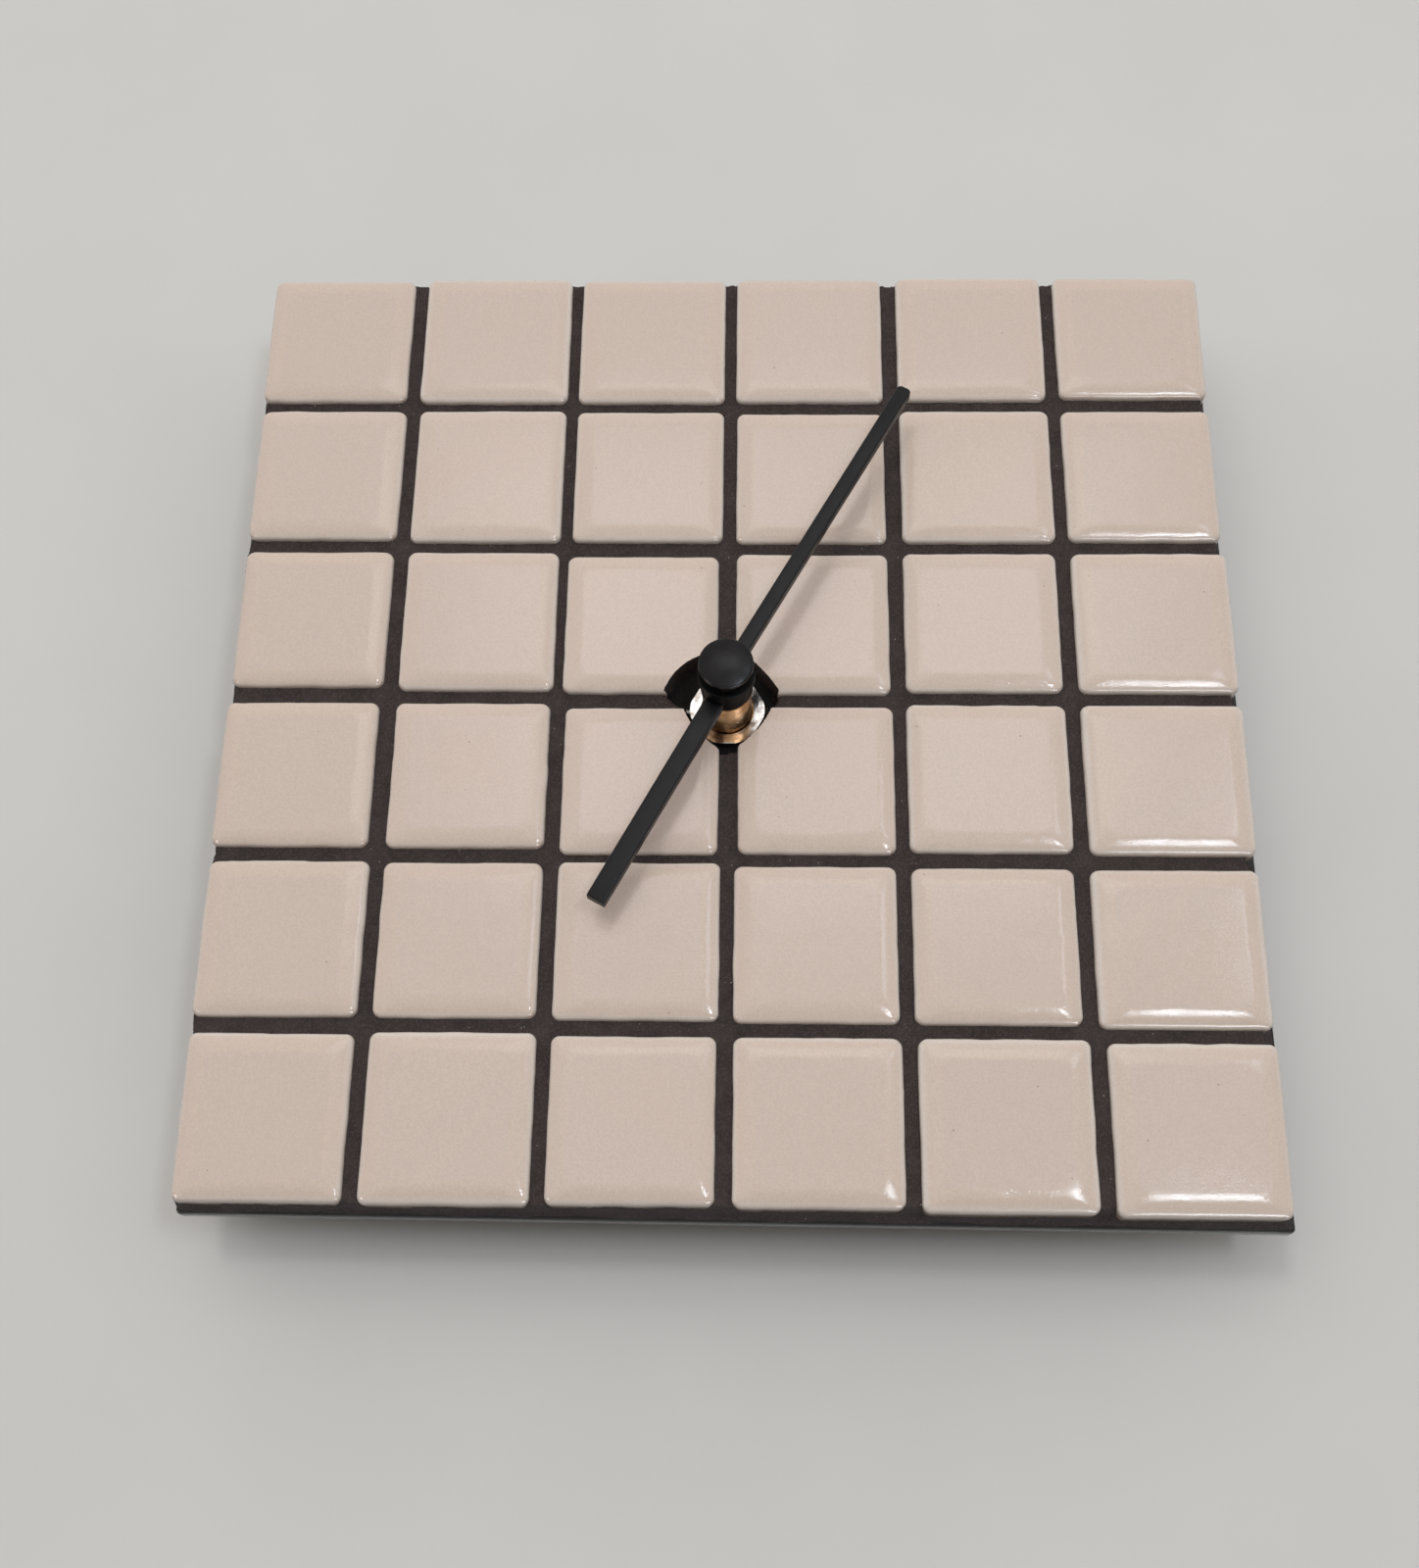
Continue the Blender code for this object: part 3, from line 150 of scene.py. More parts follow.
class Recipe:
    """A material's node tree, with short ways to add and join its nodes."""

    def __init__(self, name: str) -> None:
        """Makes an empty material that holds one Principled shader.

        Args:
            name: The material's name.
        """
        self.material = bpy.data.materials.new(name)
        self.material.use_nodes = True
        self.tree = self.material.node_tree
        self.shader = self.tree.nodes["Principled BSDF"]
        self.place = self.node("ShaderNodeTexCoord").outputs["Object"]

    def node(self, kind: str, **settings: object) -> bpy.types.Node:
        """Adds a node and sets its properties.

        Args:
            kind: The node's type name.
            **settings: Property values.

        Returns:
            The node.
        """
        made = self.tree.nodes.new(kind)
        for key, value in settings.items():
            setattr(made, key, value)
        return made

    def feed(self, value: object, socket: bpy.types.NodeSocket) -> None:
        """Joins an output to an input, or gives the input a plain number or colour.

        Args:
            value: An output, a number or a colour.
            socket: The input.
        """
        if isinstance(value, bpy.types.NodeSocket):
            self.tree.links.new(value, socket)
        elif isinstance(value, tuple):
            socket.default_value = (*value, 1.0)
        else:
            socket.default_value = value

    def set(self, **values: object) -> None:
        """Feeds the shader's own sockets.

        Args:
            **values: Outputs, numbers or colours, by the socket's name with _ for a space.
        """
        for key, value in values.items():
            self.feed(value, self.shader.inputs[key.replace("_", " ")])

    def pattern(self, texture: Texture) -> bpy.types.NodeSocket:
        """Draws a grey pattern in the object's own space.

        Args:
            texture: The pattern.

        Returns:
            The pattern's grey output.
        """
        mapping = self.node("ShaderNodeMapping")
        mapping.inputs["Scale"].default_value = tuple(s * texture.per_mm / MM for s in texture.stretch)
        self.feed(self.place, mapping.inputs["Vector"])
        node, output = texture.kind.value
        drawn = self.node(node)
        drawn.inputs["Scale"].default_value = 1.0
        self.feed(mapping.outputs["Vector"], drawn.inputs["Vector"])
        if texture.kind is Noise.CLOUDS:
            drawn.inputs["Detail"].default_value = texture.detail
        return drawn.outputs[output]

    def attribute(self, name: str) -> bpy.types.Node:
        """Reads a colour stored on the mesh, split into its channels.

        Args:
            name: The attribute's name.

        Returns:
            The node whose outputs are Red, Green and Blue.
        """
        read = self.node("ShaderNodeAttribute", attribute_name=name)
        split = self.node("ShaderNodeSeparateColor")
        self.feed(read.outputs["Color"], split.inputs["Color"])
        return split

    def levels(self, grey: bpy.types.NodeSocket, span: Point2,
               out: Point2 = (0.0, 1.0)) -> bpy.types.NodeSocket:
        """Maps a range of greys softly onto another range.

        Args:
            grey: The grey input.
            span: The input levels that give the ends of the new range.
            out: The ends of the new range.

        Returns:
            The mapped grey.
        """
        change = self.node("ShaderNodeMapRange", interpolation_type="SMOOTHSTEP")
        for key, value in zip(("From Min", "From Max", "To Min", "To Max"), (*span, *out)):
            change.inputs[key].default_value = value
        self.feed(grey, change.inputs["Value"])
        return change.outputs["Result"]

    def reckon(self, operation: str, *values: object, clamp: bool = False) -> bpy.types.NodeSocket:
        """Works out a sum of greys.

        Args:
            operation: The math node's operation.
            *values: Outputs or numbers.
            clamp: Whether the result is kept between 0 and 1.

        Returns:
            The result.
        """
        made = self.node("ShaderNodeMath", operation=operation, use_clamp=clamp)
        for value, socket in zip(values, made.inputs):
            self.feed(value, socket)
        return made.outputs["Value"]

    def blend(self, share: object, first: object, second: object, mode: str = "MIX") -> bpy.types.NodeSocket:
        """Mixes two colours by a grey.

        Args:
            share: 0 gives the first colour and 1 the second.
            first: A colour or a colour output.
            second: A colour or a colour output.
            mode: The way of mixing.

        Returns:
            The mixed colour.
        """
        mix = self.node("ShaderNodeMix", data_type="RGBA", blend_type=mode)
        for value, number in ((share, MIX_SHARE), (first, MIX_FIRST), (second, MIX_SECOND)):
            self.feed(value, mix.inputs[number])
        return mix.outputs[MIX_RESULT]

    def specks(self, kind: Specks) -> bpy.types.NodeSocket:
        """Draws sparse specks.

        Args:
            kind: Their size and how they are spread.

        Returns:
            The grey that is white on a speck.
        """
        near = self.levels(self.pattern(Texture(Noise.CELLS, kind.per_mm)), kind.edge, (1.0, 0.0))
        some = self.levels(self.pattern(clouds(kind.clouds_per_mm, 1.0)), kind.dense, (0.0, kind.strength))
        return self.reckon("MULTIPLY", near, some)

    def relief(self, *layers: tuple[bpy.types.NodeSocket, float]) -> None:
        """Stacks bumps on the shader's normal.

        Args:
            *layers: Grey heights, each with the depth in millimetres that white stands for.
        """
        last = None
        for height, depth in layers:
            bump = self.node("ShaderNodeBump")
            bump.inputs["Distance"].default_value = depth * MM
            bump.inputs["Strength"].default_value = 1.0
            self.feed(height, bump.inputs["Height"])
            if last is not None:
                self.feed(last, bump.inputs["Normal"])
            last = bump.outputs["Normal"]
        self.feed(last, self.shader.inputs["Normal"])


@dataclass(frozen=True)
class Finish:
    """A finish: its name, and in each kind of finish the way that its material is made."""

    name: str

    def material(self) -> bpy.types.Material:
        """Each kind of finish makes its own material."""
        raise NotImplementedError(self.name)


@dataclass(frozen=True)
class Glaze(Finish):
    """The cream glaze of the tiles, with sparse specks, a painted highlight along each tile's rounded rim and
    painted shade that darkens the outer tiles.
    """

    name: str = "cream_glaze"
    warm: Colour = shade(230, 207, 195)
    cool: Colour = shade(227, 208, 196)
    # Painted shade: the duller colour that the outer tiles take, as if they were less lit than the middle
    # ones.
    dull: Colour = shade(214, 197, 185)
    margin: Colour = shade(223, 203, 188)
    # Painted highlight: the paler colour of the rounded rims, where the light catches them.
    rim: Colour = shade(231, 220, 211)
    speck: Colour = shade(172, 150, 134)
    mottle: Texture = clouds(0.09, 3.0)
    mottle_span: Point2 = (0.3, 0.7)
    grain: Texture = clouds(3.0, 3.0)
    grain_span: Point2 = (0.3, 0.72)
    grain_tone: Point2 = (0.95, 1.035)
    grain_depth: float = 0.016
    specks: Specks = Specks(0.42, (0.045, 0.075), 0.31, (0.60, 0.64))
    gloss: Texture = clouds(0.6)
    gloss_span: Point2 = (0.3, 0.7)
    roughness: Point2 = (0.08, 0.13)
    wave: Texture = clouds(0.16, 1.0)
    wave_depth: float = 0.05

    def material(self) -> bpy.types.Material:
        """Builds the glaze.

        Returns:
            The material.
        """
        r = Recipe(self.name)
        tone = r.attribute("glaze")
        patchy = r.blend(r.levels(r.pattern(self.mottle), self.mottle_span), self.warm, self.cool)
        # Blue mixes in painted shade that grows towards the outer tiles, together with a random tone for each
        # tile.
        base = r.blend(tone.outputs["Blue"], patchy, self.dull)
        toned = r.blend(tone.outputs["Red"], base, self.margin)
        # Green marks the painted highlight along each tile's rim.
        rim_highlighted = r.blend(tone.outputs["Green"], toned, self.rim)
        fine = r.pattern(self.grain)
        grey = r.node("ShaderNodeCombineColor")
        level = r.levels(fine, self.grain_span, self.grain_tone)
        for channel in ("Red", "Green", "Blue"):
            r.feed(level, grey.inputs[channel])
        grained = r.blend(1.0, rim_highlighted, grey.outputs["Color"], "MULTIPLY")
        r.set(Base_Color=r.blend(r.specks(self.specks), grained, self.speck),
              Roughness=r.levels(r.pattern(self.gloss), self.gloss_span, self.roughness), IOR=1.5)
        r.relief((r.pattern(self.wave), self.wave_depth), (fine, self.grain_depth))
        return r.material


@dataclass(frozen=True)
class Biscuit(Finish):
    """The bare body of a tile where a corner was nibbled off, coloured dark brown, near black."""

    name: str = "nibbled_biscuit"
    pale: Colour = shade(52, 37, 32)
    dark: Colour = shade(24, 17, 15)
    stain: Texture = clouds(0.8, 4.0)
    blotch_span: Point2 = (0.35, 0.65)
    chips: Texture = clouds(3.0, 4.0)
    chip_depth: float = 0.12

    def material(self) -> bpy.types.Material:
        """Builds the dark biscuit.

        Returns:
            The material.
        """
        r = Recipe(self.name)
        blotched = r.levels(r.pattern(self.stain), self.blotch_span)
        r.set(Base_Color=r.blend(blotched, self.dark, self.pale), Roughness=0.85)
        r.relief((r.pattern(self.chips), self.chip_depth))
        return r.material


@dataclass(frozen=True)
class Grout(Finish):
    """Dark brown-black cement grout with sand grains and a few pale specks."""

    name: str = "dark_grout"
    dark: Colour = shade(47, 38, 37)
    light: Colour = shade(62, 52, 50)
    grain: Colour = shade(84, 72, 69)
    speck: Colour = shade(168, 154, 142)
    patches: Texture = clouds(0.25)
    patch_span: Point2 = (0.25, 0.8)
    sand: Texture = Texture(Noise.GRAINS, 4.5)
    sand_span: Point2 = (0.45, 0.9)
    sand_tone: Point2 = (0.0, 0.6)
    specks: Specks = Specks(1.3, (0.10, 0.15), 0.5, (0.66, 0.69))
    bumps: tuple[tuple[Texture, float], ...] = (
        (clouds(1.2, 3.0), 0.1), (Texture(Noise.CELLS, 4.5), 0.07), (clouds(7.0), 0.05))

    def material(self) -> bpy.types.Material:
        """Builds the grout.

        Returns:
            The material.
        """
        r = Recipe(self.name)
        base = r.blend(r.levels(r.pattern(self.patches), self.patch_span), self.dark, self.light)
        sandy = r.blend(r.levels(r.pattern(self.sand), self.sand_span, self.sand_tone), base, self.grain)
        r.set(Base_Color=r.blend(r.specks(self.specks), sandy, self.speck), Roughness=0.9)
        r.relief(*((r.pattern(texture), depth) for texture, depth in self.bumps))
        return r.material


@dataclass(frozen=True)
class SheetGlass(Finish):
    """Clear sheet glass with a faint green tint, smeared by handling and dusty with grout."""

    name: str = "sheet_glass"
    clear: Colour = shade(214, 222, 214)
    smeared: Colour = shade(194, 198, 188)
    smear: Texture = clouds(0.05, 4.0, (1.0, 5.0, 5.0))
    smear_span: Point2 = (0.4, 0.75)
    dust: Texture = clouds(0.5, 4.0)
    dust_span: Point2 = (0.35, 0.8)
    roughness: Point2 = (0.04, 0.22)
    swell: Texture = clouds(0.25)
    swell_depth: float = 0.004

    def material(self) -> bpy.types.Material:
        """Builds the glass.

        Returns:
            The material.
        """
        r = Recipe(self.name)
        r.set(Base_Color=r.blend(r.levels(r.pattern(self.smear), self.smear_span), self.clear, self.smeared),
              Roughness=r.levels(r.pattern(self.dust), self.dust_span, self.roughness),
              IOR=1.52, Transmission_Weight=1.0)
        r.relief((r.pattern(self.swell), self.swell_depth))
        return r.material


@dataclass(frozen=True)
class Lacquer(Finish):
    """Black satin lacquer on the hands and the cap, with a light grain and fine dust."""

    black: Colour
    worn: Colour
    roughness: Point2
    sheen: float = 0.3
    dusty: Colour = shade(120, 114, 108)
    cloud: Texture = clouds(0.4, 4.0)
    worn_span: Point2 = (0.35, 0.7)
    gloss_span: Point2 = (0.3, 0.7)
    dust: Specks = Specks(1.4, (0.05, 0.09), 0.9, (0.66, 0.70), 0.6)
    grain: Texture = clouds(2.5, 3.0)
    grain_depth: float = 0.012

    def material(self) -> bpy.types.Material:
        """Builds the lacquer.

        Returns:
            The material.
        """
        r = Recipe(self.name)
        cloud = r.pattern(self.cloud)
        base = r.blend(r.levels(cloud, self.worn_span), self.black, self.worn)
        r.set(Base_Color=r.blend(r.specks(self.dust), base, self.dusty),
              Roughness=r.levels(cloud, self.gloss_span, self.roughness),
              IOR=1.5, Specular_IOR_Level=self.sheen)
        r.relief((r.pattern(self.grain), self.grain_depth))
        return r.material


CAST_MARKS = clouds(2.0)
TURNED_MARKS = clouds(2.0, 2.0, (1.0, 8.0, 1.0))


@dataclass(frozen=True)
class Metal(Finish):
    """A metal with turning marks, stains and worn highlights."""

    bright: Colour
    dull: Colour
    roughness: Point2
    marks: Texture = CAST_MARKS
    marks_depth: float = 0.008
    stain: Texture = clouds(0.5, 4.0)
    dull_span: Point2 = (0.35, 0.7)
    gloss_span: Point2 = (0.3, 0.75)

    def material(self) -> bpy.types.Material:
        """Builds the metal.

        Returns:
            The material.
        """
        r = Recipe(self.name)
        stain = r.pattern(self.stain)
        r.set(Base_Color=r.blend(r.levels(stain, self.dull_span), self.bright, self.dull),
              Roughness=r.levels(stain, self.gloss_span, self.roughness), Metallic=1.0)
        r.relief((r.pattern(self.marks), self.marks_depth))
        return r.material


@dataclass(frozen=True)
class Moulding(Finish):
    """A moulded plastic or rubber with a fine grain and faint flow marks."""

    colour: Colour
    shaded: Colour
    roughness: Point2
    grain: Texture = clouds(3.0, 3.0)
    grain_depth: float = 0.02
    flow: Texture = clouds(0.06, 3.0)
    gloss: Texture = clouds(0.7)
    span: Point2 = (0.3, 0.7)

    def material(self) -> bpy.types.Material:
        """Builds the moulding.

        Returns:
            The material.
        """
        r = Recipe(self.name)
        r.set(Base_Color=r.blend(r.levels(r.pattern(self.flow), self.span), self.colour, self.shaded),
              Roughness=r.levels(r.pattern(self.gloss), self.span, self.roughness), IOR=1.48)
        r.relief((r.pattern(self.grain), self.grain_depth))
        return r.material


@dataclass(frozen=True)
class Winding(Finish):
    """Enamelled copper wire, wound across the coil."""

    name: str = "wound_copper"
    bright: Colour = shade(190, 104, 58)
    dark: Colour = shade(92, 44, 26)
    pitch: float = 0.16
    depth: float = 0.05

    def material(self) -> bpy.types.Material:
        """Builds the winding.

        Returns:
            The material.
        """
        r = Recipe(self.name)
        split = r.node("ShaderNodeSeparateXYZ")
        r.feed(r.place, split.inputs["Vector"])
        turns = r.reckon("MULTIPLY", split.outputs["X"], 2 * math.pi / (self.pitch * MM))
        height = r.levels(r.reckon("SINE", turns), (-1.0, 1.0))
        r.set(Base_Color=r.blend(height, self.dark, self.bright), Roughness=0.35, Metallic=0.6)
        r.relief((height, self.depth))
        return r.material


class Finishes:
    """Makes each finish once and hands it out."""

    def __init__(self) -> None:
        """Starts with no finish made."""
        self.made: dict[str, bpy.types.Material] = {}

    def get(self, finish: Finish) -> bpy.types.Material:
        """The material of a finish.

        Args:
            finish: The finish.

        Returns:
            The material, made at its first use.
        """
        if finish.name not in self.made:
            self.made[finish.name] = finish.material()
        return self.made[finish.name]


GLAZE = Glaze()
BISCUIT = Biscuit()
GROUT = Grout()
# Painted shade: this near-black glue lines the well round the thread, standing for the shade there; it also
# covers the adhesive's flat front and rear faces.
GLUE_AND_WELL_SHADE = Grout("tile_glue_and_well_shade", shade(15, 12, 12), shade(25, 20, 19), shade(40, 33, 31), shade(90, 82, 76))
GLASS = SheetGlass()
# Painted shade: the glass's edge faces and a band round its rim are near black, for the dark surroundings
# seen through the edge.
SHADED_GLASS_EDGE = SheetGlass("glass_edge_painted_dark", shade(38, 39, 35), shade(31, 29, 26))
HAND_LACQUER = Lacquer("hand_lacquer", shade(14, 14, 17), shade(20, 19, 22), (0.32, 0.44))
# Painted shade: the hubs take a darker copy of the hands' lacquer, for the shade that the cap casts on them.
SHADED_HUB_LACQUER = Lacquer("hub_lacquer_painted_shade", shade(5, 5, 6), shade(9, 8, 9), (0.4, 0.52), sheen=0.1)
CAP_PLASTIC = Lacquer("cap_plastic", shade(12, 9, 10), shade(18, 14, 15), (0.2, 0.32))
# Its dull patches are partly tarnish and partly painted shade for the dark surroundings that the plating
# mirrors.
CHROME = Metal("nut_chrome", shade(234, 231, 228), shade(118, 104, 94), (0.08, 0.22))
BRASS = Metal("bush_brass", shade(220, 178, 134), shade(176, 134, 96), (0.28, 0.38), TURNED_MARKS)
STEEL = Metal("arbor_steel", shade(196, 196, 197), shade(160, 159, 157), (0.2, 0.34), TURNED_MARKS)
NICKEL = Metal("contact_nickel", shade(208, 204, 196), shade(172, 168, 160), (0.16, 0.3))
LAMINATION = Metal("stator_lamination", shade(172, 172, 174), shade(140, 138, 137), (0.3, 0.45))
MAGNET = Metal("rotor_magnet", shade(104, 102, 102), shade(84, 82, 82), (0.4, 0.55))
CASE_PLASTIC = Moulding("case_plastic", shade(38, 38, 40), shade(46, 46, 48), (0.42, 0.56))
COVER_PLASTIC = Moulding("cover_plastic", shade(42, 42, 44), shade(49, 49, 51), (0.38, 0.5))
KNOB_PLASTIC = Moulding("knob_plastic", shade(228, 225, 218), shade(216, 213, 206), (0.34, 0.46))
WHEEL_PLASTIC = Moulding("wheel_plastic", shade(226, 223, 214), shade(212, 208, 198), (0.32, 0.44))
GASKET_RUBBER = Moulding("gasket_rubber", shade(34, 34, 34), shade(42, 41, 40), (0.7, 0.85),
                         clouds(2.0, 3.0), 0.04)
CIRCUIT_LACQUER = Moulding("circuit_lacquer", shade(34, 84, 48), shade(26, 68, 40), (0.26, 0.38))
CELL_SLEEVE = Moulding("cell_sleeve", shade(52, 58, 68), shade(46, 51, 60), (0.2, 0.3),
                       clouds(1.0, 3.0), 0.006)
WINDING = Winding()


def arc(centre: Point2, radius: float, start: float, end: float, steps: int) -> list[Point2]:
    """Points of a rounded corner.

    Args:
        centre: The arc's centre.
        radius: The arc's radius.
        start: First angle in degrees, 0 along the first axis and 90 along the second.
        end: Last angle.
        steps: Steps between them.

    Returns:
        The points.
    """
    angles = [math.radians(start + (end - start) * i / steps) for i in range(steps + 1)]
    return [(centre[0] + radius * math.cos(a), centre[1] + radius * math.sin(a)) for a in angles]


def rounded_square(half: float, corner: float, corner_steps: int, side_steps: int) -> np.ndarray:
    """Points round a square with round corners, anticlockwise from the right side's foot.

    Args:
        half: Half of the side.
        corner: Corner radius.
        corner_steps: Steps round each corner.
        side_steps: Steps along each straight side.

    Returns:
        The points, one row each.
    """
    points: list[Point2] = []
    flat = half - corner
    for turn in range(4):
        angle = math.pi / 2 * turn
        cos, sin = math.cos(angle), math.sin(angle)
        local = [(half, flat * (2 * i / side_steps - 1)) for i in range(side_steps)]
        local += [(flat + corner * math.cos(math.pi / 2 * i / corner_steps),
                   flat + corner * math.sin(math.pi / 2 * i / corner_steps)) for i in range(corner_steps)]
        points += [(x * cos - z * sin, x * sin + z * cos) for x, z in local]
    return np.array(points)


def turn_angles(steps: int) -> np.ndarray:
    """Equal angles round a turn, in radians."""
    return np.arange(steps) * 2 * math.pi / steps


def circle(radius: float | np.ndarray, angles: np.ndarray) -> np.ndarray:
    """Points round the axis of the hands, one row of x and z for each angle."""
    return np.column_stack([radius * np.cos(angles), radius * np.sin(angles)])


def at_depth(outline: np.ndarray, y: float | np.ndarray) -> np.ndarray:
    """Stands an outline of x and z at one y, or at one y for each of its points."""
    return np.column_stack([outline[:, 0], np.zeros(len(outline)) + y, outline[:, 1]])


def piece(name: str, vertices: np.ndarray, faces: Sequence[Sequence[int]],
          materials: Sequence[bpy.types.Material], sharp: float = 32.0) -> bpy.types.Object:
    """Makes a mesh object from points in millimetres, smooth but for its sharp edges.

    Args:
        name: The object's name.
        vertices: One row of x, y and z for each point.
        faces: Rows of point numbers.
        materials: The object's materials, in slot order.
        sharp: Edges that turn by more degrees than this stay sharp.

    Returns:
        The object, in the scene.
    """
    mesh = bpy.data.meshes.new(name)
    mesh.from_pydata((np.asarray(vertices, float) * MM).tolist(), [], [list(f) for f in faces])
    work = bmesh.new()
    work.from_mesh(mesh)
    bmesh.ops.recalc_face_normals(work, faces=work.faces)
    work.to_mesh(mesh)
    work.free()
    for material in materials:
        mesh.materials.append(material)
    mesh.shade_smooth()
    mesh.set_sharp_from_angle(angle=math.radians(sharp))
    made = bpy.data.objects.new(name, mesh)
    bpy.context.scene.collection.objects.link(made)
    return made


def skin(name: str, rings: Sequence[np.ndarray], materials: Sequence[bpy.types.Material],
         sharp: float = 32.0, closed: bool = False) -> bpy.types.Object:
    """Makes a piece from a stack of rings with the same number of points.

    Args:
        name: The object's name.
        rings: The rings, each with one row of x, y and z for each point.
        materials: The object's materials, in slot order.
        sharp: Edges that turn by more degrees than this stay sharp.
        closed: Whether the last ring joins the first. Otherwise both are filled.

    Returns:
        The object, in the scene.
    """
    count = len(rings[0])
    faces = []
    for low in range(len(rings) if closed else len(rings) - 1):
        high = (low + 1) % len(rings)
        for i in range(count):
            j = (i + 1) % count
            faces.append([low * count + i, low * count + j, high * count + j, high * count + i])
    if not closed:
        faces.append(list(range(count)))
        faces.append(list(range((len(rings) - 1) * count, len(rings) * count)))
    return piece(name, np.vstack(rings), faces, materials, sharp)


def lathe(name: str, profile: Sequence[Point2], material: bpy.types.Material,
          steps: int = 96, closed: bool = False, sharp: float = 32.0) -> bpy.types.Object:
    """Turns a profile about the axis of the hands.

    Args:
        name: The object's name.
        profile: Pairs of radius and y.
        material: Its finish.
        steps: Points round the axis.
        closed: Whether the profile closes on itself, as a tube's does.
        sharp: The angle of a sharp edge in degrees.

    Returns:
        The object.
    """
    angles = turn_angles(steps)
    return skin(name, [at_depth(circle(r, angles), y) for r, y in profile], [material], sharp, closed)


def stand_for(made: bpy.types.Object, body: Body, node: str) -> None:
    """Puts a finished piece on its body, in place of the plain node that it stands for.

    Args:
        made: The piece.
        body: The body that it rides on.
        node: The node that it replaces.
    """
    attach(made, body.value)
    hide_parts(node)
    LOG.info("%s rides on %s for %s", made.name, body.value, node)


def cut_with(target: bpy.types.Object, tool: bpy.types.Object, sharp: float = 30.0) -> None:
    """Cuts a tool out of a piece for good, and removes the tool.

    Args:
        target: The piece.
        tool: The closed tool.
        sharp: Edges that turn by more degrees than this stay sharp.
    """
    change = target.modifiers.new("Cut", "BOOLEAN")
    change.operation = "DIFFERENCE"
    change.solver = "EXACT"
    change.material_mode = "TRANSFER"
    change.object = tool
    bpy.context.view_layer.update()
    result = bpy.data.meshes.new_from_object(target.evaluated_get(bpy.context.evaluated_depsgraph_get()))
    target.modifiers.clear()
    target.data = result
    result.set_sharp_from_angle(angle=math.radians(sharp))
    bpy.data.objects.remove(tool)


def signed_distance(points: np.ndarray, outline: np.ndarray) -> np.ndarray:
    """Distance of points from a closed outline, negative inside it.

    Args:
        points: Rows of two coordinates.
        outline: The outline's corners.

    Returns:
        One distance for each point.
    """
    best = np.full(len(points), FAR_AWAY)
    inside = np.zeros(len(points), bool)
    for start, end in zip(outline, np.roll(outline, -1, axis=0)):
        line = end - start
        share = np.clip(((points - start) @ line) / max(float(line @ line), NEARLY_NOTHING), 0, 1)
        best = np.minimum(best, np.linalg.norm(points - start - share[:, None] * line, axis=1))
        if start[1] != end[1]:
            crossing = (start[1] > points[:, 1]) != (end[1] > points[:, 1])
            where = start[0] + (points[:, 1] - start[1]) / (end[1] - start[1]) * line[0]
            inside ^= crossing & (points[:, 0] < where)
    return np.where(inside, -best, best)


def ease(share: np.ndarray) -> np.ndarray:
    """Rounds off both ends of a rise from 0 to 1."""
    return share * share * (3 - 2 * share)


@dataclass(frozen=True)
class Ripple:
    """A smooth random height over the face, the same at every run, up to twice its height."""

    length: float
    seed: int
    height: float

    def at(self, x: np.ndarray, z: np.ndarray) -> np.ndarray:
        """The height at some places.

        Args:
            x: Places to the right, in millimetres.
            z: Places upward.

        Returns:
            The height at each place.
        """
        size = int(RIPPLED_SPAN / self.length) + SPARE_POSTS
        posts = np.random.default_rng(self.seed).normal(0, 1, (size, size))
        across, up = (x + RIPPLED_SPAN / 2) / self.length, (z + RIPPLED_SPAN / 2) / self.length
        i, j = np.floor(across).astype(int), np.floor(up).astype(int)
        s, t = ease(across - i), ease(up - j)
        near = posts[i, j] * (1 - s) + posts[i + 1, j] * s
        far = posts[i, j + 1] * (1 - s) + posts[i + 1, j + 1] * s
        return (near * (1 - t) + far * t) * self.height


def rippled(ripples: Iterable[Ripple], x: np.ndarray, z: np.ndarray) -> np.ndarray:
    """The height of several ripples together at some places."""
    return sum(ripple.at(x, z) for ripple in ripples)


@dataclass(frozen=True)
class TileEdge:
    """A tile's section, as insets and depths behind its front, and how much the tiles differ."""

    profile: tuple[Point2, ...] = (
        (0.42, -5.5), (0.16, -5.3), (0.10, -4.0), (0.03, -2.6), (0.0, -1.5), (0.03, -1.22),
        (0.10, -0.99), (0.24, -0.77), (0.45, -0.61), (0.70, -0.495), (1.0, -0.392), (1.4, -0.28),
        (1.8, -0.186), (2.2, -0.108), (2.6, -0.048), (3.0, -0.01), (3.4, 0.0))
    margin: float = 3.4
    shoulder: float = 0.6
    corner_steps: int = 8
    side_steps: int = 20
    corner_spread: Point2 = (-0.05, 0.2)
    margin_spread: Point2 = (-0.25, 0.3)
    sharpest_inset: float = 0.5
    tightening: float = 0.2
    opening: float = 0.4
    wander: tuple[Ripple, ...] = (Ripple(1.3, 21, 0.022), Ripple(4.0, 22, 0.05))
    margin_wander: tuple[Ripple, ...] = (Ripple(6.0, 23, 0.16),)
    foot_wander: float = 0.85
    foot_depth: float = -1.4
    straight_depth: float = -1.5
    usual_tilt: float = 0.003
    most_tilt: float = 0.004
    tilt_room: float = 0.06
    sharp: float = 50.0


@dataclass(frozen=True)
class TileTone:
    """Where the tiles' colour changes, in millimetres from a tile's edge, and how strongly: a slightly darker
    margin, a painted highlight on the rim and painted shade towards the outer tiles.
    """

    flat_from: float = 3.1
    band_from: float = 0.9
    band: float = 0.55
    edge: float = 0.8
    spread: float = 0.35
    rim_width: float = 0.35
    rim_highlight_depth: float = 2.5
    rim: float = 0.9
    rim_highlight_fade_from: float = 0.95
    rim_highlight_fade_depth: float = 1.0
    falloff_shade: float = 0.8


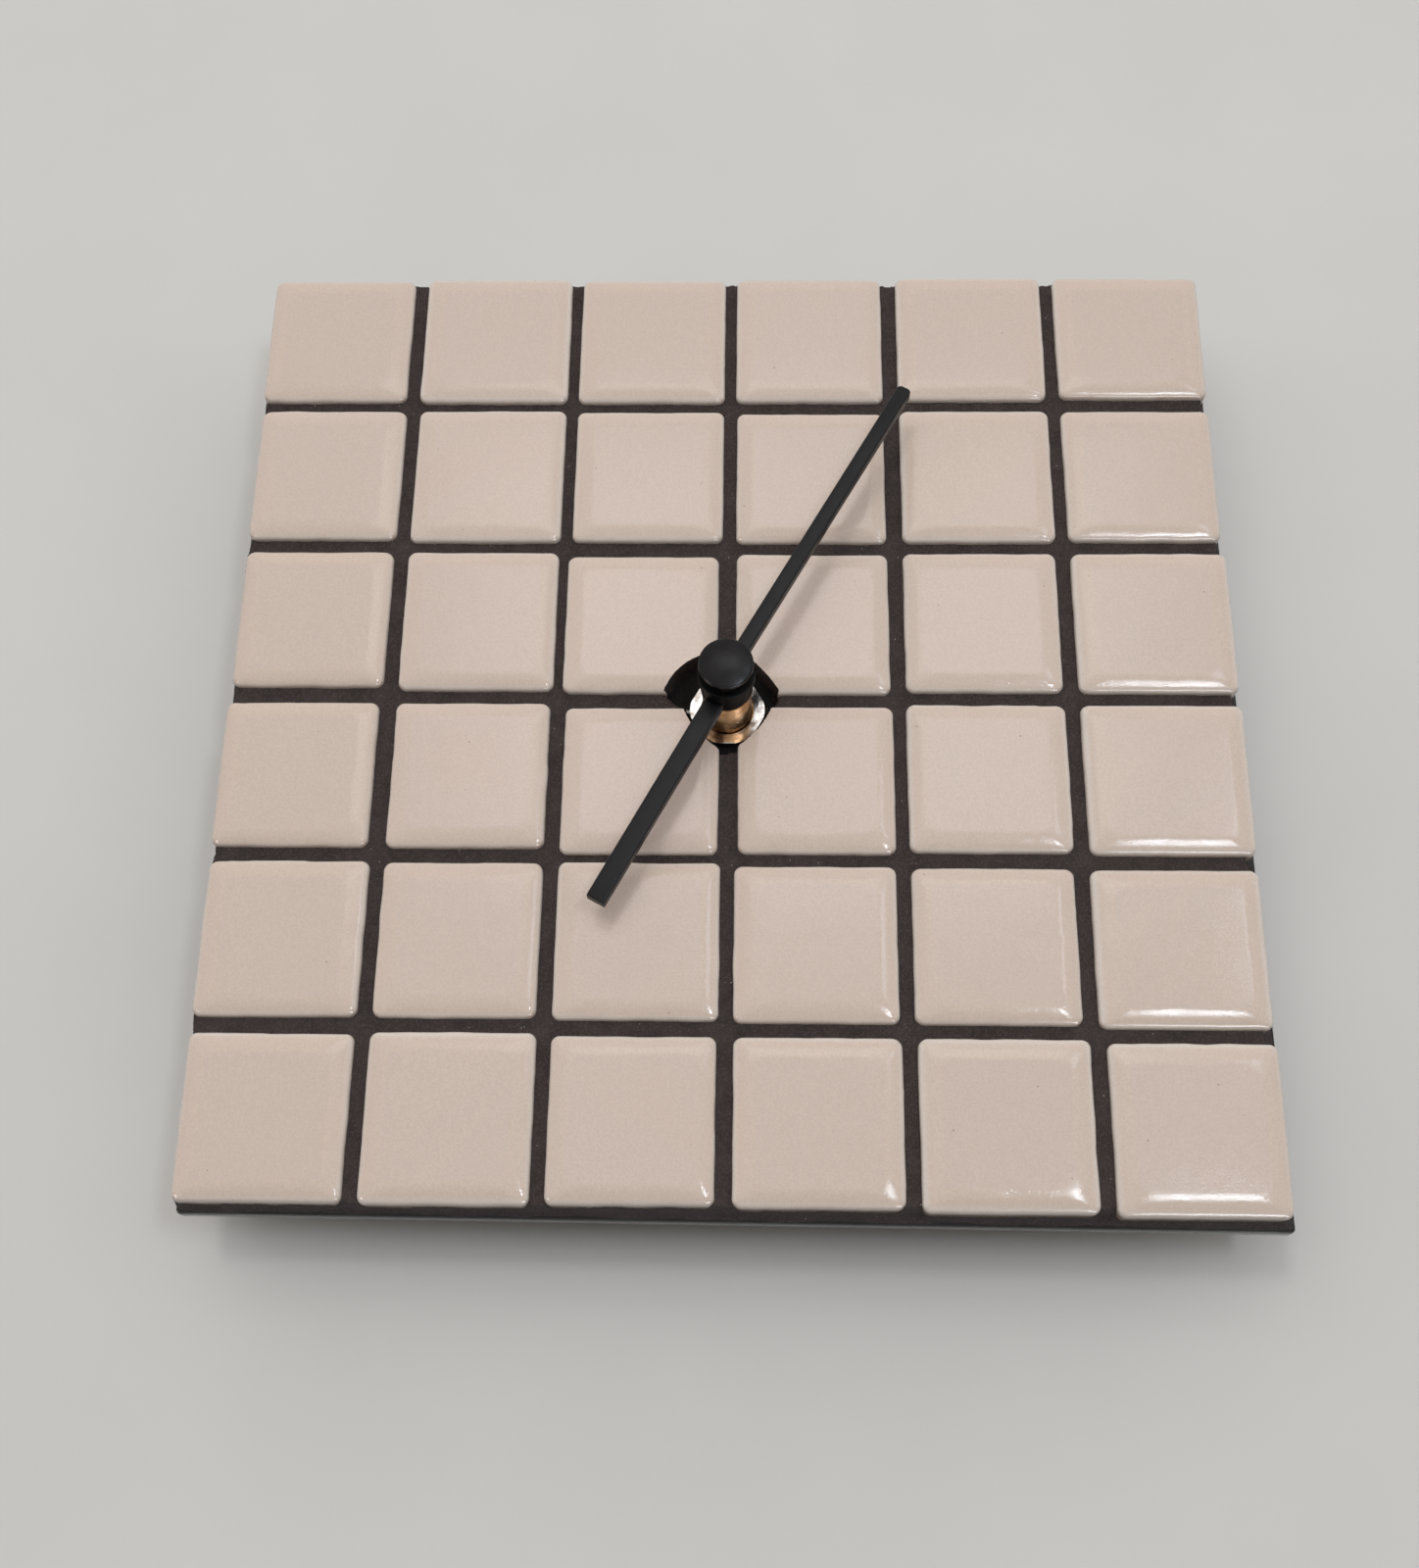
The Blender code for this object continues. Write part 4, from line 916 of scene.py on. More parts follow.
@dataclass(frozen=True)
class GroutForm:
    """The section of the grout against the tiles, at the rim and round the thread."""

    grain: tuple[Ripple, ...] = (Ripple(2.8, 3, 0.05), Ripple(1.1, 4, 0.05), Ripple(0.5, 5, 0.035))
    heel_rise: float = 0.32
    heel_width: float = 0.35
    rim_grain: float = 3.0
    rim_from: float = 0.55
    rim_width: float = 0.7
    fillet_width: float = 1.15
    fillet_wander: Ripple = Ripple(6.0, 6, 0.25)
    fillet_rise: float = 1.35
    fillet_hollow: float = 1.4
    glue_grain: float = 0.4
    well_from: float = 0.3
    well_width: float = 0.5
    shaded_well_reach: float = 0.15
    well_steps: int = 10
    spacing: float = 0.4
    tucked: float = 0.9
    inset: float = 2.2
    sharp: float = 60.0


@dataclass(frozen=True)
class GlueForm:
    """The squeezed out adhesive: its rings inside the glass's edge and how they wander."""

    insets: tuple[float, ...] = (3.6, 3.0, 2.6, 2.3, 2.0, 1.75, 1.5, 1.3, 1.1, 0.9, 0.7, 0.5)
    wander: tuple[Ripple, ...] = (Ripple(5.0, 8, 0.12), Ripple(1.6, 9, 0.06))
    most: Point2 = (-0.2, 0.4)
    wanders_from: float = 1.6
    corner_steps: int = 8
    side_steps: int = 420


@dataclass
class Mosaic:
    """The tiled face: 36 hand-laid glazed tiles, their grout and adhesive, and the glass sheet."""

    finishes: Finishes
    count: int = 6
    side: float = 25.4
    joint: float = 2.2
    centre: Point2 = (0.3, 0.9)
    tile_front: float = -26.3
    tile_rear: float = -20.7
    corner: float = 1.3
    edge: TileEdge = TileEdge()
    tone: TileTone = TileTone()
    tile_seed: int = 100
    tone_seed: int = 300
    grout_front: float = -24.25
    grout: GroutForm = GroutForm()
    glue_front: float = -20.66
    glue_rear: float = -20.43
    glue: GlueForm = GlueForm()
    board_front: float = -20.4
    board_rear: float = -17.4
    board_centre: Point2 = (0.8, 0.8)
    board_side: float = 166.0
    board_corner: float = 0.7
    board_seam: float = 0.45
    board_bend: float = 0.13
    board_room: float = 0.02
    board_steps: tuple[int, int] = (10, 6)
    board_corner_closing: float = 0.4
    board_corner_least: float = 0.4
    edge_slope: float = 0.8
    painted_dark_rim: float = 2.0
    # How far each corner of the glass lies out of square, in the order of the quarters.
    board_off: tuple[Point2, ...] = ((-1.2, 0.5), (-0.55, 0.5), (0.5, 0.6), (0.55, -0.55))
    thread_hole: float = 4.23
    drill_steps: int = 64
    nut_room: float = 6.3
    ream_steps: int = 48
    # The quarters of the face, anticlockwise from the upper right, as the signs of x and z.
    quarters: tuple[tuple[int, int], ...] = ((1, 1), (-1, 1), (-1, -1), (1, -1))
    # For each quarter: where the cut ends on the level joint and on the upright one, and its bow.
    notch: tuple[Point3, ...] = ((8.1, 8.5, 0.4), (10.6, 8.0, 1.7), (7.6, 9.3, 1.2), (7.1, 8.8, 1.0))
    bite_depth: float = 0.09
    bite_seed: int = 7
    bites_per_mm: float = 5.1
    even_bite: float = 0.6
    odd_bite: float = 0.4
    # How much wider and higher than its solid a tile is, by its row and column.
    grown: dict[tuple[int, int], Point2] = field(default_factory=lambda: {
        (0, 0): (-0.3, -0.2), (0, 1): (0.4, 0.3), (0, 4): (0.2, 0.0), (0, 5): (0.0, -0.5),
        (1, 0): (-0.2, -0.1), (1, 1): (0.1, 0.3), (1, 3): (-0.2, -0.2), (1, 4): (0.2, 0.3),
        (2, 0): (-0.5, -0.5), (2, 2): (-0.1, -0.3), (2, 3): (-0.2, 0.2), (2, 5): (0.4, 0.1),
        (3, 0): (-0.5, -0.5), (3, 1): (-0.3, -0.5), (3, 2): (-0.4, -0.3), (3, 3): (-0.4, -0.2),
        (3, 4): (0.3, -0.1), (3, 5): (0.6, 0.2), (4, 0): (0.0, -0.2), (4, 1): (-0.3, -0.4),
        (4, 3): (-0.1, -0.3), (4, 4): (-0.1, -0.4), (4, 5): (0.7, -0.1), (5, 0): (-0.2, 0.1),
        (5, 1): (0.0, 0.6), (5, 2): (-0.4, 0.0), (5, 3): (0.1, 0.2), (5, 4): (0.5, 0.6), (5, 5): (0.1, 0.5)})

    def finish(self, *wanted: Finish) -> list[bpy.types.Material]:
        """The materials of some finishes."""
        return [self.finishes.get(finish) for finish in wanted]

    def tile_node(self, row: int, column: int) -> str:
        """The node of a tile, counted from the top left."""
        return "tile_r%d_c%d" % (row + 1, column + 1)

    def tile_draws(self, seed: int, row: int, column: int) -> np.random.Generator:
        """The random draws of one tile, the same at every run."""
        return np.random.default_rng(seed + 10 * row + column)

    def tile_centre(self, row: int, column: int) -> Point2:
        """The middle of a tile as it was laid.

        Args:
            row: Row from the top.
            column: Column from the left.

        Returns:
            Its x and z.
        """
        low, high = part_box(self.tile_node(row, column))
        return ((low[0] + high[0]) / 2 / MM, (low[2] + high[2]) / 2 / MM)

    def notch_outline(self, ragged: float = 0.0, steps: int = 28) -> np.ndarray:
        """The edge of the nibbled hole round the thread.

        Args:
            ragged: How deep the nippers' scallops are.
            steps: Points along each cut.

        Returns:
            The points, anticlockwise.
        """
        half = self.joint / 2
        random = np.random.default_rng(self.bite_seed)
        points = []
        for (side, rise), (level, upright, bow) in zip(self.quarters, self.notch):
            ends = [np.array((side * level, rise * half)), np.array((side * half, rise * upright))]
            if side * rise < 0:
                ends.reverse()
            along = ends[1] - ends[0]
            length = float(np.linalg.norm(along))
            along = along / length
            outward = np.array((along[1], -along[0]))
            bites = random.uniform(-1, 1, steps + 1)
            for i in range(steps + 1):
                share = i / steps
                lift = 4 * bow * share * (1 - share)
                even = self.even_bite * math.sin(share * length * self.bites_per_mm) ** 2
                bite = ragged * (even + self.odd_bite * bites[i]) * (0 < i < steps)
                points.append(ends[0] + along * length * share + outward * (lift + bite))
        return np.array(points) + np.array(self.centre)

    def tile_mesh(self, row: int, column: int) -> bpy.types.Object:
        """One tile with a rounded glaze edge, a falling margin and a flat middle.

        Args:
            row: Row from the top.
            column: Column from the left.

        Returns:
            The tile.
        """
        edge = self.edge
        random = self.tile_draws(self.tile_seed, row, column)
        centre = np.array(self.tile_centre(row, column))
        half = self.side / 2
        corner = self.corner + random.uniform(*edge.corner_spread)
        margin = random.uniform(*edge.margin_spread)
        tilt = np.clip(random.normal(0, edge.usual_tilt, 2), -edge.most_tilt, edge.most_tilt)
        base = rounded_square(half, corner, edge.corner_steps, edge.side_steps)
        x, z = base[:, 0] + centre[0], base[:, 1] + centre[1]
        wander = rippled(edge.wander, x, z)
        margin_wander = rippled(edge.margin_wander, x, z)
        size = 1 + np.array(self.grown.get((row, column), (0.0, 0.0))) / self.side
        rings = []
        for inset, depth in edge.profile:
            inward = min(inset / edge.margin, 1.0)
            reach = inset + (margin * inward if inset > edge.shoulder else 0.0)
            radius = corner * (1 - edge.tightening * min(inset, edge.sharpest_inset))
            radius += edge.opening * max(inset - edge.sharpest_inset, 0.0)
            ring = rounded_square(half - reach, radius, edge.corner_steps, edge.side_steps)
            outward = ring / np.linalg.norm(ring, axis=1)[:, None]
            swing = wander * (1 - inward) + margin_wander * inward
            ring = ring + outward * swing[:, None] * (edge.foot_wander if depth < edge.foot_depth else 1.0)
            ring = ring * size
            lean = ring @ tilt if depth > edge.straight_depth else 0.0
            rings.append(at_depth(ring + centre, self.tile_front - depth + lean + edge.tilt_room))
        rings[0][:, 1] = self.tile_rear
        name = "glazed_" + self.tile_node(row, column)
        return skin(name, rings, self.finish(GLAZE, BISCUIT), edge.sharp)

    def tint(self, tile: bpy.types.Object, row: int, column: int) -> None:
        """Marks a tile's margin, the painted highlight on its rim and the painted shade of the outer tiles,
        for the glaze.

        Args:
            tile: The tile.
            row: Row from the top.
            column: Column from the left.
        """
        tone = self.tone
        centre = np.array(self.tile_centre(row, column))
        count = len(tile.data.vertices)
        points = np.zeros(count * 3)
        tile.data.vertices.foreach_get("co", points)
        points = points.reshape(-1, 3) / MM
        inset = self.side / 2 - np.abs(points[:, [0, 2]] - centre).max(axis=1)
        deep = points[:, 1] - self.tile_front
        more = self.tile_draws(self.tone_seed, row, column).uniform(0.0, tone.spread)
        # Painted shade: the further a tile lies from the middle of the face, the more of the duller colour it
        # takes, on top of its random tone.
        falloff_shade = np.linalg.norm(centre - self.board_centre) / self.board_side
        band = np.select([inset > tone.flat_from, inset > tone.band_from], [0.0, tone.band], tone.edge)
        # Painted highlight: points on the rounded rim, and a fade in from it, take the paler rim colour.
        on_rim_highlight = (inset < tone.rim_width) & (deep < tone.rim_highlight_depth)
        rim_highlight_fade = np.clip(tone.rim_highlight_fade_from - inset, 0, tone.rim) * (deep < tone.rim_highlight_fade_depth)
        data = np.ones((count, 4))
        data[:, 0] = np.clip(band + more, 0, 1)
        data[:, 1] = np.where(on_rim_highlight, tone.rim, rim_highlight_fade)
        data[:, 2] = min(falloff_shade * tone.falloff_shade + more, 1.0)
        marks = tile.data.color_attributes.new("glaze", "FLOAT_COLOR", "POINT")
        marks.data.foreach_set("color", data.ravel())

    def build_tiles(self) -> None:
        """Makes and dresses the tiles, with the nibbled corners of the middle four."""
        middle = (self.count // 2 - 1, self.count // 2)
        for row in range(self.count):
            for column in range(self.count):
                tile = self.tile_mesh(row, column)
                if row in middle and column in middle:
                    outline = self.notch_outline(self.bite_depth)
                    ends = [at_depth(outline, y) for y in (self.tile_front - 2, self.tile_rear + 2)]
                    cut_with(tile, skin("nippers", ends, self.finish(BISCUIT)))
                self.tint(tile, row, column)
                stand_for(tile, Body.CLOCK, self.tile_node(row, column))

    def tile_gap(self, x: np.ndarray, z: np.ndarray) -> np.ndarray:
        """How far points lie from the nearest tile, negative under it.

        Args:
            x: Places to the right.
            z: Places upward.

        Returns:
            The distances.
        """
        nearest = np.full(x.shape, FAR_AWAY)
        flat = self.side / 2 - self.corner
        for row in range(self.count):
            for column in range(self.count):
                cx, cz = self.tile_centre(row, column)
                dx, dz = np.abs(x - cx) - flat, np.abs(z - cz) - flat
                outside = np.hypot(np.maximum(dx, 0), np.maximum(dz, 0))
                nearest = np.minimum(nearest, outside + np.minimum(np.maximum(dx, dz), 0) - self.corner)
        return nearest

    def in_well(self, x: np.ndarray, z: np.ndarray) -> np.ndarray:
        """How far places lie from the edge of the hole round the thread, negative in it."""
        points = np.column_stack([x.ravel(), z.ravel()])
        return signed_distance(points, self.notch_outline(0.0, self.grout.well_steps)).reshape(x.shape)

    def grout_level(self, x: np.ndarray, z: np.ndarray) -> np.ndarray:
        """The trowelled face of the grout, with its fall at the rim and round the thread.

        Args:
            x: Places to the right.
            z: Places upward.

        Returns:
            The y of the grout's face at each place.
        """
        form = self.grout
        gap = self.tile_gap(x, z)
        rough = rippled(form.grain, x, z)
        bed = self.grout_front - form.heel_rise * np.exp(-np.maximum(gap, 0) / form.heel_width) - rough
        limit = self.side * self.count / 2 + self.joint * (self.count - 1) / 2
        past = np.maximum(np.abs(x - self.centre[0]), np.abs(z - self.centre[1])) - limit
        past = past + rough * form.rim_grain
        width = form.fillet_width + form.fillet_wander.at(x, z)
        spread = np.clip(1 - np.maximum(gap, 0) / width, 0, 1)
        bare = self.glue_front - rough * form.glue_grain
        fillet = self.glue_front - form.fillet_rise * spread ** form.fillet_hollow - rough * form.glue_grain
        share = ease(np.clip((past + form.rim_from) / form.rim_width, 0, 1))
        level = bed * (1 - share) + fillet * share
        fall = np.clip((form.well_from - self.in_well(x, z)) / form.well_width, 0, 1)
        return level * (1 - fall) + bare * fall

    def build_grout(self) -> None:
        """Makes the grout in the joints, a rough bed that rises a little against the tiles."""
        form = self.grout
        reach = self.board_side / 2 - form.inset
        ticks = np.arange(-reach, reach + form.spacing, form.spacing)
        x, z = np.meshgrid(ticks + self.board_centre[0], ticks + self.board_centre[1])
        keep = self.tile_gap(x, z) > -form.tucked
        used = keep[:-1, :-1] | keep[1:, :-1] | keep[:-1, 1:] | keep[1:, 1:]
        number = np.arange(x.size).reshape(x.shape)
        quads = np.stack([number[:-1, :-1][used], number[:-1, 1:][used], number[1:, 1:][used],
                          number[1:, :-1][used]], axis=1)
        wanted, faces = np.unique(quads, return_inverse=True)
        points = np.column_stack([x.ravel(), self.grout_level(x, z).ravel(), z.ravel()])[wanted]
        made = piece("grout_bed", points, faces.reshape(quads.shape), self.finish(GROUT, GLUE_AND_WELL_SHADE), form.sharp)
        middles = np.zeros(len(made.data.polygons) * 3)
        made.data.polygons.foreach_get("center", middles)
        middles = middles.reshape(-1, 3) / MM
        # Painted shade: grout faces in and near the well take the near-black glue.
        inside = self.in_well(middles[:, 0], middles[:, 2]) < form.shaded_well_reach
        made.data.polygons.foreach_set("material_index", inside.astype(np.int32))
        stand_for(made, Body.CLOCK, "grout_grid")

    def board_outline(self, inset: float, corner_steps: int, side_steps: int) -> np.ndarray:
        """The edge of the glass, which was cut a little out of square.

        Args:
            inset: How far inside the edge.
            corner_steps: Steps round each corner.
            side_steps: Steps along each side.

        Returns:
            The points, one row of x and z each.
        """
        half = self.board_side / 2
        corner = max(self.board_corner - inset * self.board_corner_closing, self.board_corner_least)
        ring = rounded_square(half - inset, corner, corner_steps, side_steps)
        moved = ring.copy()
        for (way, rise), off in zip(self.quarters, self.board_off):
            share = (1 + way * ring[:, 0] / half) * (1 + rise * ring[:, 1] / half) / 4
            moved += share[:, None] * np.array(off)
        return moved + np.array(self.board_centre)

    def build_glue(self) -> None:
        """Makes the adhesive between tiles and glass, squeezed out in a fillet along the rim."""
        form = self.glue
        rings = []
        for inset in form.insets:
            ring = self.board_outline(inset, form.corner_steps, form.side_steps)
            if inset < form.wanders_from:
                inward = np.array(self.board_centre) - ring
                inward = inward / np.linalg.norm(inward, axis=1)[:, None]
                ring = ring + inward * np.clip(rippled(form.wander, *ring.T), *form.most)[:, None]
            rings.append(at_depth(ring, self.grout_level(*ring.T)))
        inner, outer = rings[0].copy(), rings[-1].copy()
        inner[:, 1] = self.glue_front
        outer[:, 1] = self.glue_rear
        made = skin("tile_adhesive", [inner, *rings, outer], self.finish(GROUT, GLUE_AND_WELL_SHADE), self.grout.sharp)
        # The adhesive's front face, which floors the well round the thread, and its rear face take the
        # near-black glue; in the well it is painted shade.
        for cap in (-2, -1):
            made.data.polygons[cap].material_index = 1
        ream = [(self.nut_room, self.glue_rear + 1), (self.nut_room, self.glue_front - 1)]
        cut_with(made, lathe("reamer", ream, self.finishes.get(GROUT), self.ream_steps), self.grout.sharp)
        stand_for(made, Body.CLOCK, "grout_grid")

    def build_board(self) -> None:
        """Makes the glass sheet with seamed edges and the hole for the thread."""
        front, rear, seam, bend = self.board_front, self.board_rear, self.board_seam, self.board_bend
        levels = [(rear, self.painted_dark_rim), (rear, seam), (rear - bend, bend), (rear - seam, 0.0),
                  (front + seam, 0.0), (front + bend, bend), (front, seam), (front, self.painted_dark_rim)]
        rings = [at_depth(self.board_outline(inset + self.board_room, *self.board_steps), y)
                 for y, inset in levels]
        made = skin("glass_board", rings, self.finish(GLASS, SHADED_GLASS_EDGE))
        drill = [(self.thread_hole, rear + 1), (self.thread_hole, front - 1)]
        cut_with(made, lathe("drill", drill, self.finishes.get(GLASS), self.drill_steps))
        # Painted shade: faces on the edges, and faces within the rim band, take the near-black glass.
        inside = self.board_side / 2 - self.painted_dark_rim
        for face in made.data.polygons:
            off = np.array(face.center)[[0, 2]] / MM - self.board_centre
            face.material_index = int(abs(face.normal.y) < self.edge_slope or np.abs(off).max() > inside)
        stand_for(made, Body.CLOCK, "backing_board")

    def build(self) -> None:
        """Builds the whole face."""
        self.build_board()
        self.build_glue()
        self.build_grout()
        self.build_tiles()


@dataclass
class Hand:
    """One flat bar hand on its round hub."""

    name: str
    body: Body
    angle: float
    width: float
    reach: float
    tip_round: float
    hub_radius: float
    bore: float
    rear: float
    front: float
    bar_proud: float = 0.1
    thickness: float = 2.0
    chamfer: float = 0.28
    # Depth and inset of the bar's rounded front edge, as shares of the chamfer.
    chamfer_shares: tuple[Point2, ...] = ((1.0, 0.0), (0.62, 0.12), (0.3, 0.38), (0.08, 0.75), (0.0, 1.15))
    rear_edge: float = 0.06
    tip_closing: float = 0.6
    tip_least: float = 0.06
    tip_steps: int = 6
    side_shares: tuple[float, ...] = (0.0, 0.25, 0.5, 0.75)
    bar_sharp: float = 40.0
    hub_edge: float = 0.22
    hub_edge_steps: int = 4
    hub_rear_edge: float = 0.1

    def build_bar(self, finishes: Finishes) -> None:
        """Makes the bar, from the axis to its tip.

        Args:
            finishes: The finishes.
        """
        front = self.front + self.bar_proud
        rear = front + self.thickness
        levels = [(rear, self.rear_edge), (rear - self.rear_edge, 0.0)]
        levels += [(front + self.chamfer * deep, self.chamfer * inset) for deep, inset in self.chamfer_shares]
        turn = math.radians(self.angle)
        ahead = np.array((math.sin(turn), math.cos(turn)))
        right = np.array((math.cos(turn), -math.sin(turn)))
        rings = []
        for y, inset in levels:
            half = self.width / 2 - inset
            end = self.reach - inset
            bend = max(self.tip_round - inset * self.tip_closing, self.tip_least)
            local = [(-half, self.reach * share) for share in self.side_shares]
            local += arc((-half + bend, end - bend), bend, 180, 90, self.tip_steps)
            local += arc((half - bend, end - bend), bend, 90, 0, self.tip_steps)
            local += [(half, self.reach * share) for share in reversed(self.side_shares)]
            rings.append(at_depth(np.array([right * a + ahead * b for a, b in local]), y))
        bar = skin(self.name + "_bar", rings, [finishes.get(HAND_LACQUER)], self.bar_sharp)
        stand_for(bar, self.body, self.name)

    def build(self, finishes: Finishes) -> None:
        """Makes the hub and the bar.

        Args:
            finishes: The finishes.
        """
        soft, radius = self.hub_edge, self.hub_radius
        rim = arc((radius - soft, self.front + soft), soft, -90, 0, self.hub_edge_steps)
        profile = [(self.bore, self.front), *rim, (radius, self.rear - self.hub_rear_edge),
                   (radius - self.hub_rear_edge, self.rear), (self.bore, self.rear)]
        # The hub's darker lacquer is painted shade.
        hub = lathe(self.name + "_hub", profile, finishes.get(SHADED_HUB_LACQUER), closed=True)
        stand_for(hub, self.body, self.name)
        self.build_bar(finishes)


@dataclass
class Hub:
    """Everything on the axis in front of the board: nut, threaded bush, hands, shafts and cap."""

    finishes: Finishes
    hour_hand: Hand = field(default_factory=lambda: Hand(
        "hour_hand", Body.HOUR, angle=208.2, width=3.1, reach=41.2, tip_round=0.15,
        hub_radius=4.15, bore=2.58, rear=-31.4, front=-33.9))
    minute_hand: Hand = field(default_factory=lambda: Hand(
        "minute_hand", Body.MINUTE, angle=29.2, width=2.4, reach=60.0, tip_round=0.7,
        hub_radius=4.5, bore=1.68, rear=-34.7, front=-37.0))
    thread_radius: float = 3.93
    thread_root: float = 3.74
    thread_pitch: float = 0.75
    thread_steps: int = 8
    thread_front: float = -31.1
    bush_sharp: float = 75.0
    flange_radius: float = 5.5
    flange_front: float = -14.7
    flange_rear: float = -13.9
    pipe_bore: float = 2.58
    nut_flats: float = 11.8
    nut_rear: float = -20.7
    nut_front: float = -22.5
    nut_room: float = 0.05
    nut_bevel: float = 0.4
    nut_rear_bevel: Point2 = (0.35, 0.3)
    nut_edge: float = 0.05
    nut_turned: float = 1.03
    nut_turned_edge: float = 0.08
    nut_fall: float = 0.5
    nut_sharp: float = 12.0
    cap_rear: float = -37.3
    cap_rim: float = -40.0
    cap_front: float = -40.8
    cap_radius: float = 4.32
    cap_foot: float = 3.7
    cap_foot_edge: Point2 = (0.15, 0.12)
    cap_bore: float = 1.68
    cap_wall: float = 1.7
    cap_sharp: float = 40.0
    # How far the cap's side stands out from its foot, and at which share of the side's height.
    cap_flare: tuple[Point2, ...] = ((0.08, 0.35), (0.2, 0.6))
    # Inset from the cap's radius, and distance behind the rim.
    cap_rim_section: tuple[Point2, ...] = ((0.12, 0.45), (0.0, 0.12), (0.02, -0.1), (0.12, -0.22))
    cap_dome_shares: tuple[float, ...] = (0.92, 0.84, 0.74, 0.62, 0.5, 0.36, 0.22, 0.1, 0.0)
    cap_dome_edge: float = 0.24
    cap_dome_reach: float = 0.97

    def build_bush(self, steps: int = 72) -> None:
        """Makes the brass bush with its fine thread.

        Args:
            steps: Points round the bush.
        """
        angles = turn_angles(steps)
        start = self.flange_front
        length = start - self.thread_front
        sections = [(self.pipe_bore, self.flange_rear), (self.flange_radius, self.flange_rear),
                    (self.flange_radius, start), (self.thread_radius, start)]
        count = int(length / self.thread_pitch * self.thread_steps)
        for i in range(1, count):
            y = start - length * i / count
            phase = (start - y) / self.thread_pitch * 2 * math.pi + angles
            fade = min(1.0, i / self.thread_steps, (count - i) / self.thread_steps)
            depth = (self.thread_radius - self.thread_root) * fade
            sections.append((self.thread_radius - depth * (0.5 - 0.5 * np.cos(phase)), y))
        sections += [(self.thread_root, self.thread_front), (self.pipe_bore, self.thread_front)]
        rings = [at_depth(circle(radius, angles), y) for radius, y in sections]
        made = skin("brass_bush", rings, [self.finishes.get(BRASS)], self.bush_sharp, closed=True)
        stand_for(made, Body.CLOCK, "threaded_bushing")

    def build_nut(self, steps: int = 96) -> None:
        """Makes the plated nut: six flats, its corners turned off in front, and a round hole.

        Args:
            steps: Points round the nut, a multiple of six.
        """
        angles = turn_angles(steps)
        apothem = self.nut_flats / 2
        front, rear, edge = self.nut_front, self.nut_rear, self.nut_edge
        reach = apothem / np.cos(np.mod(angles, math.pi / 3) - math.pi / 6)
        turned = np.minimum(reach - self.nut_turned_edge, apothem * self.nut_turned)
        drop = edge + np.maximum(reach - turned - self.nut_turned_edge, 0) * self.nut_fall
        hole = self.thread_radius + self.nut_room
        wide, deep = self.nut_rear_bevel
        sections = [(hole + wide, rear), (reach - edge, rear), (reach, rear - edge), (reach, front + drop),
                    (turned, front), (hole + self.nut_bevel, front), (hole, front + self.nut_bevel),
                    (hole, rear - deep)]
        rings = [at_depth(circle(radius, angles), y) for radius, y in sections]
        made = skin("plated_nut", rings, [self.finishes.get(CHROME)], self.nut_sharp, closed=True)
        stand_for(made, Body.CLOCK, "hex_nut")

    def build_cap(self) -> None:
        """Makes the domed cap, flared from its foot to a soft rim."""
        rear, rim, foot, wall = self.cap_rear, self.cap_rim, self.cap_foot, self.cap_front + self.cap_wall
        inset, back = self.cap_foot_edge
        profile = [(0.0, wall), (self.cap_bore, wall), (self.cap_bore, rear), (foot - inset, rear),
                   (foot, rear - back)]
        profile += [(foot + out, rear + (rim - rear) * share) for out, share in self.cap_flare]
        profile += [(self.cap_radius - inset, rim + back) for inset, back in self.cap_rim_section]
        dome = rim - self.cap_dome_edge - self.cap_front
        profile += [(self.cap_radius * share, self.cap_front + dome * (share / self.cap_dome_reach) ** 2)
                    for share in self.cap_dome_shares]
        made = lathe("domed_cap", profile, self.finishes.get(CAP_PLASTIC), sharp=self.cap_sharp)
        stand_for(made, Body.MINUTE, "hand_cap")

    def build(self) -> None:
        """Builds the hub and both hands."""
        self.build_bush()
        self.build_nut()
        self.hour_hand.build(self.finishes)
        self.minute_hand.build(self.finishes)
        self.build_cap()


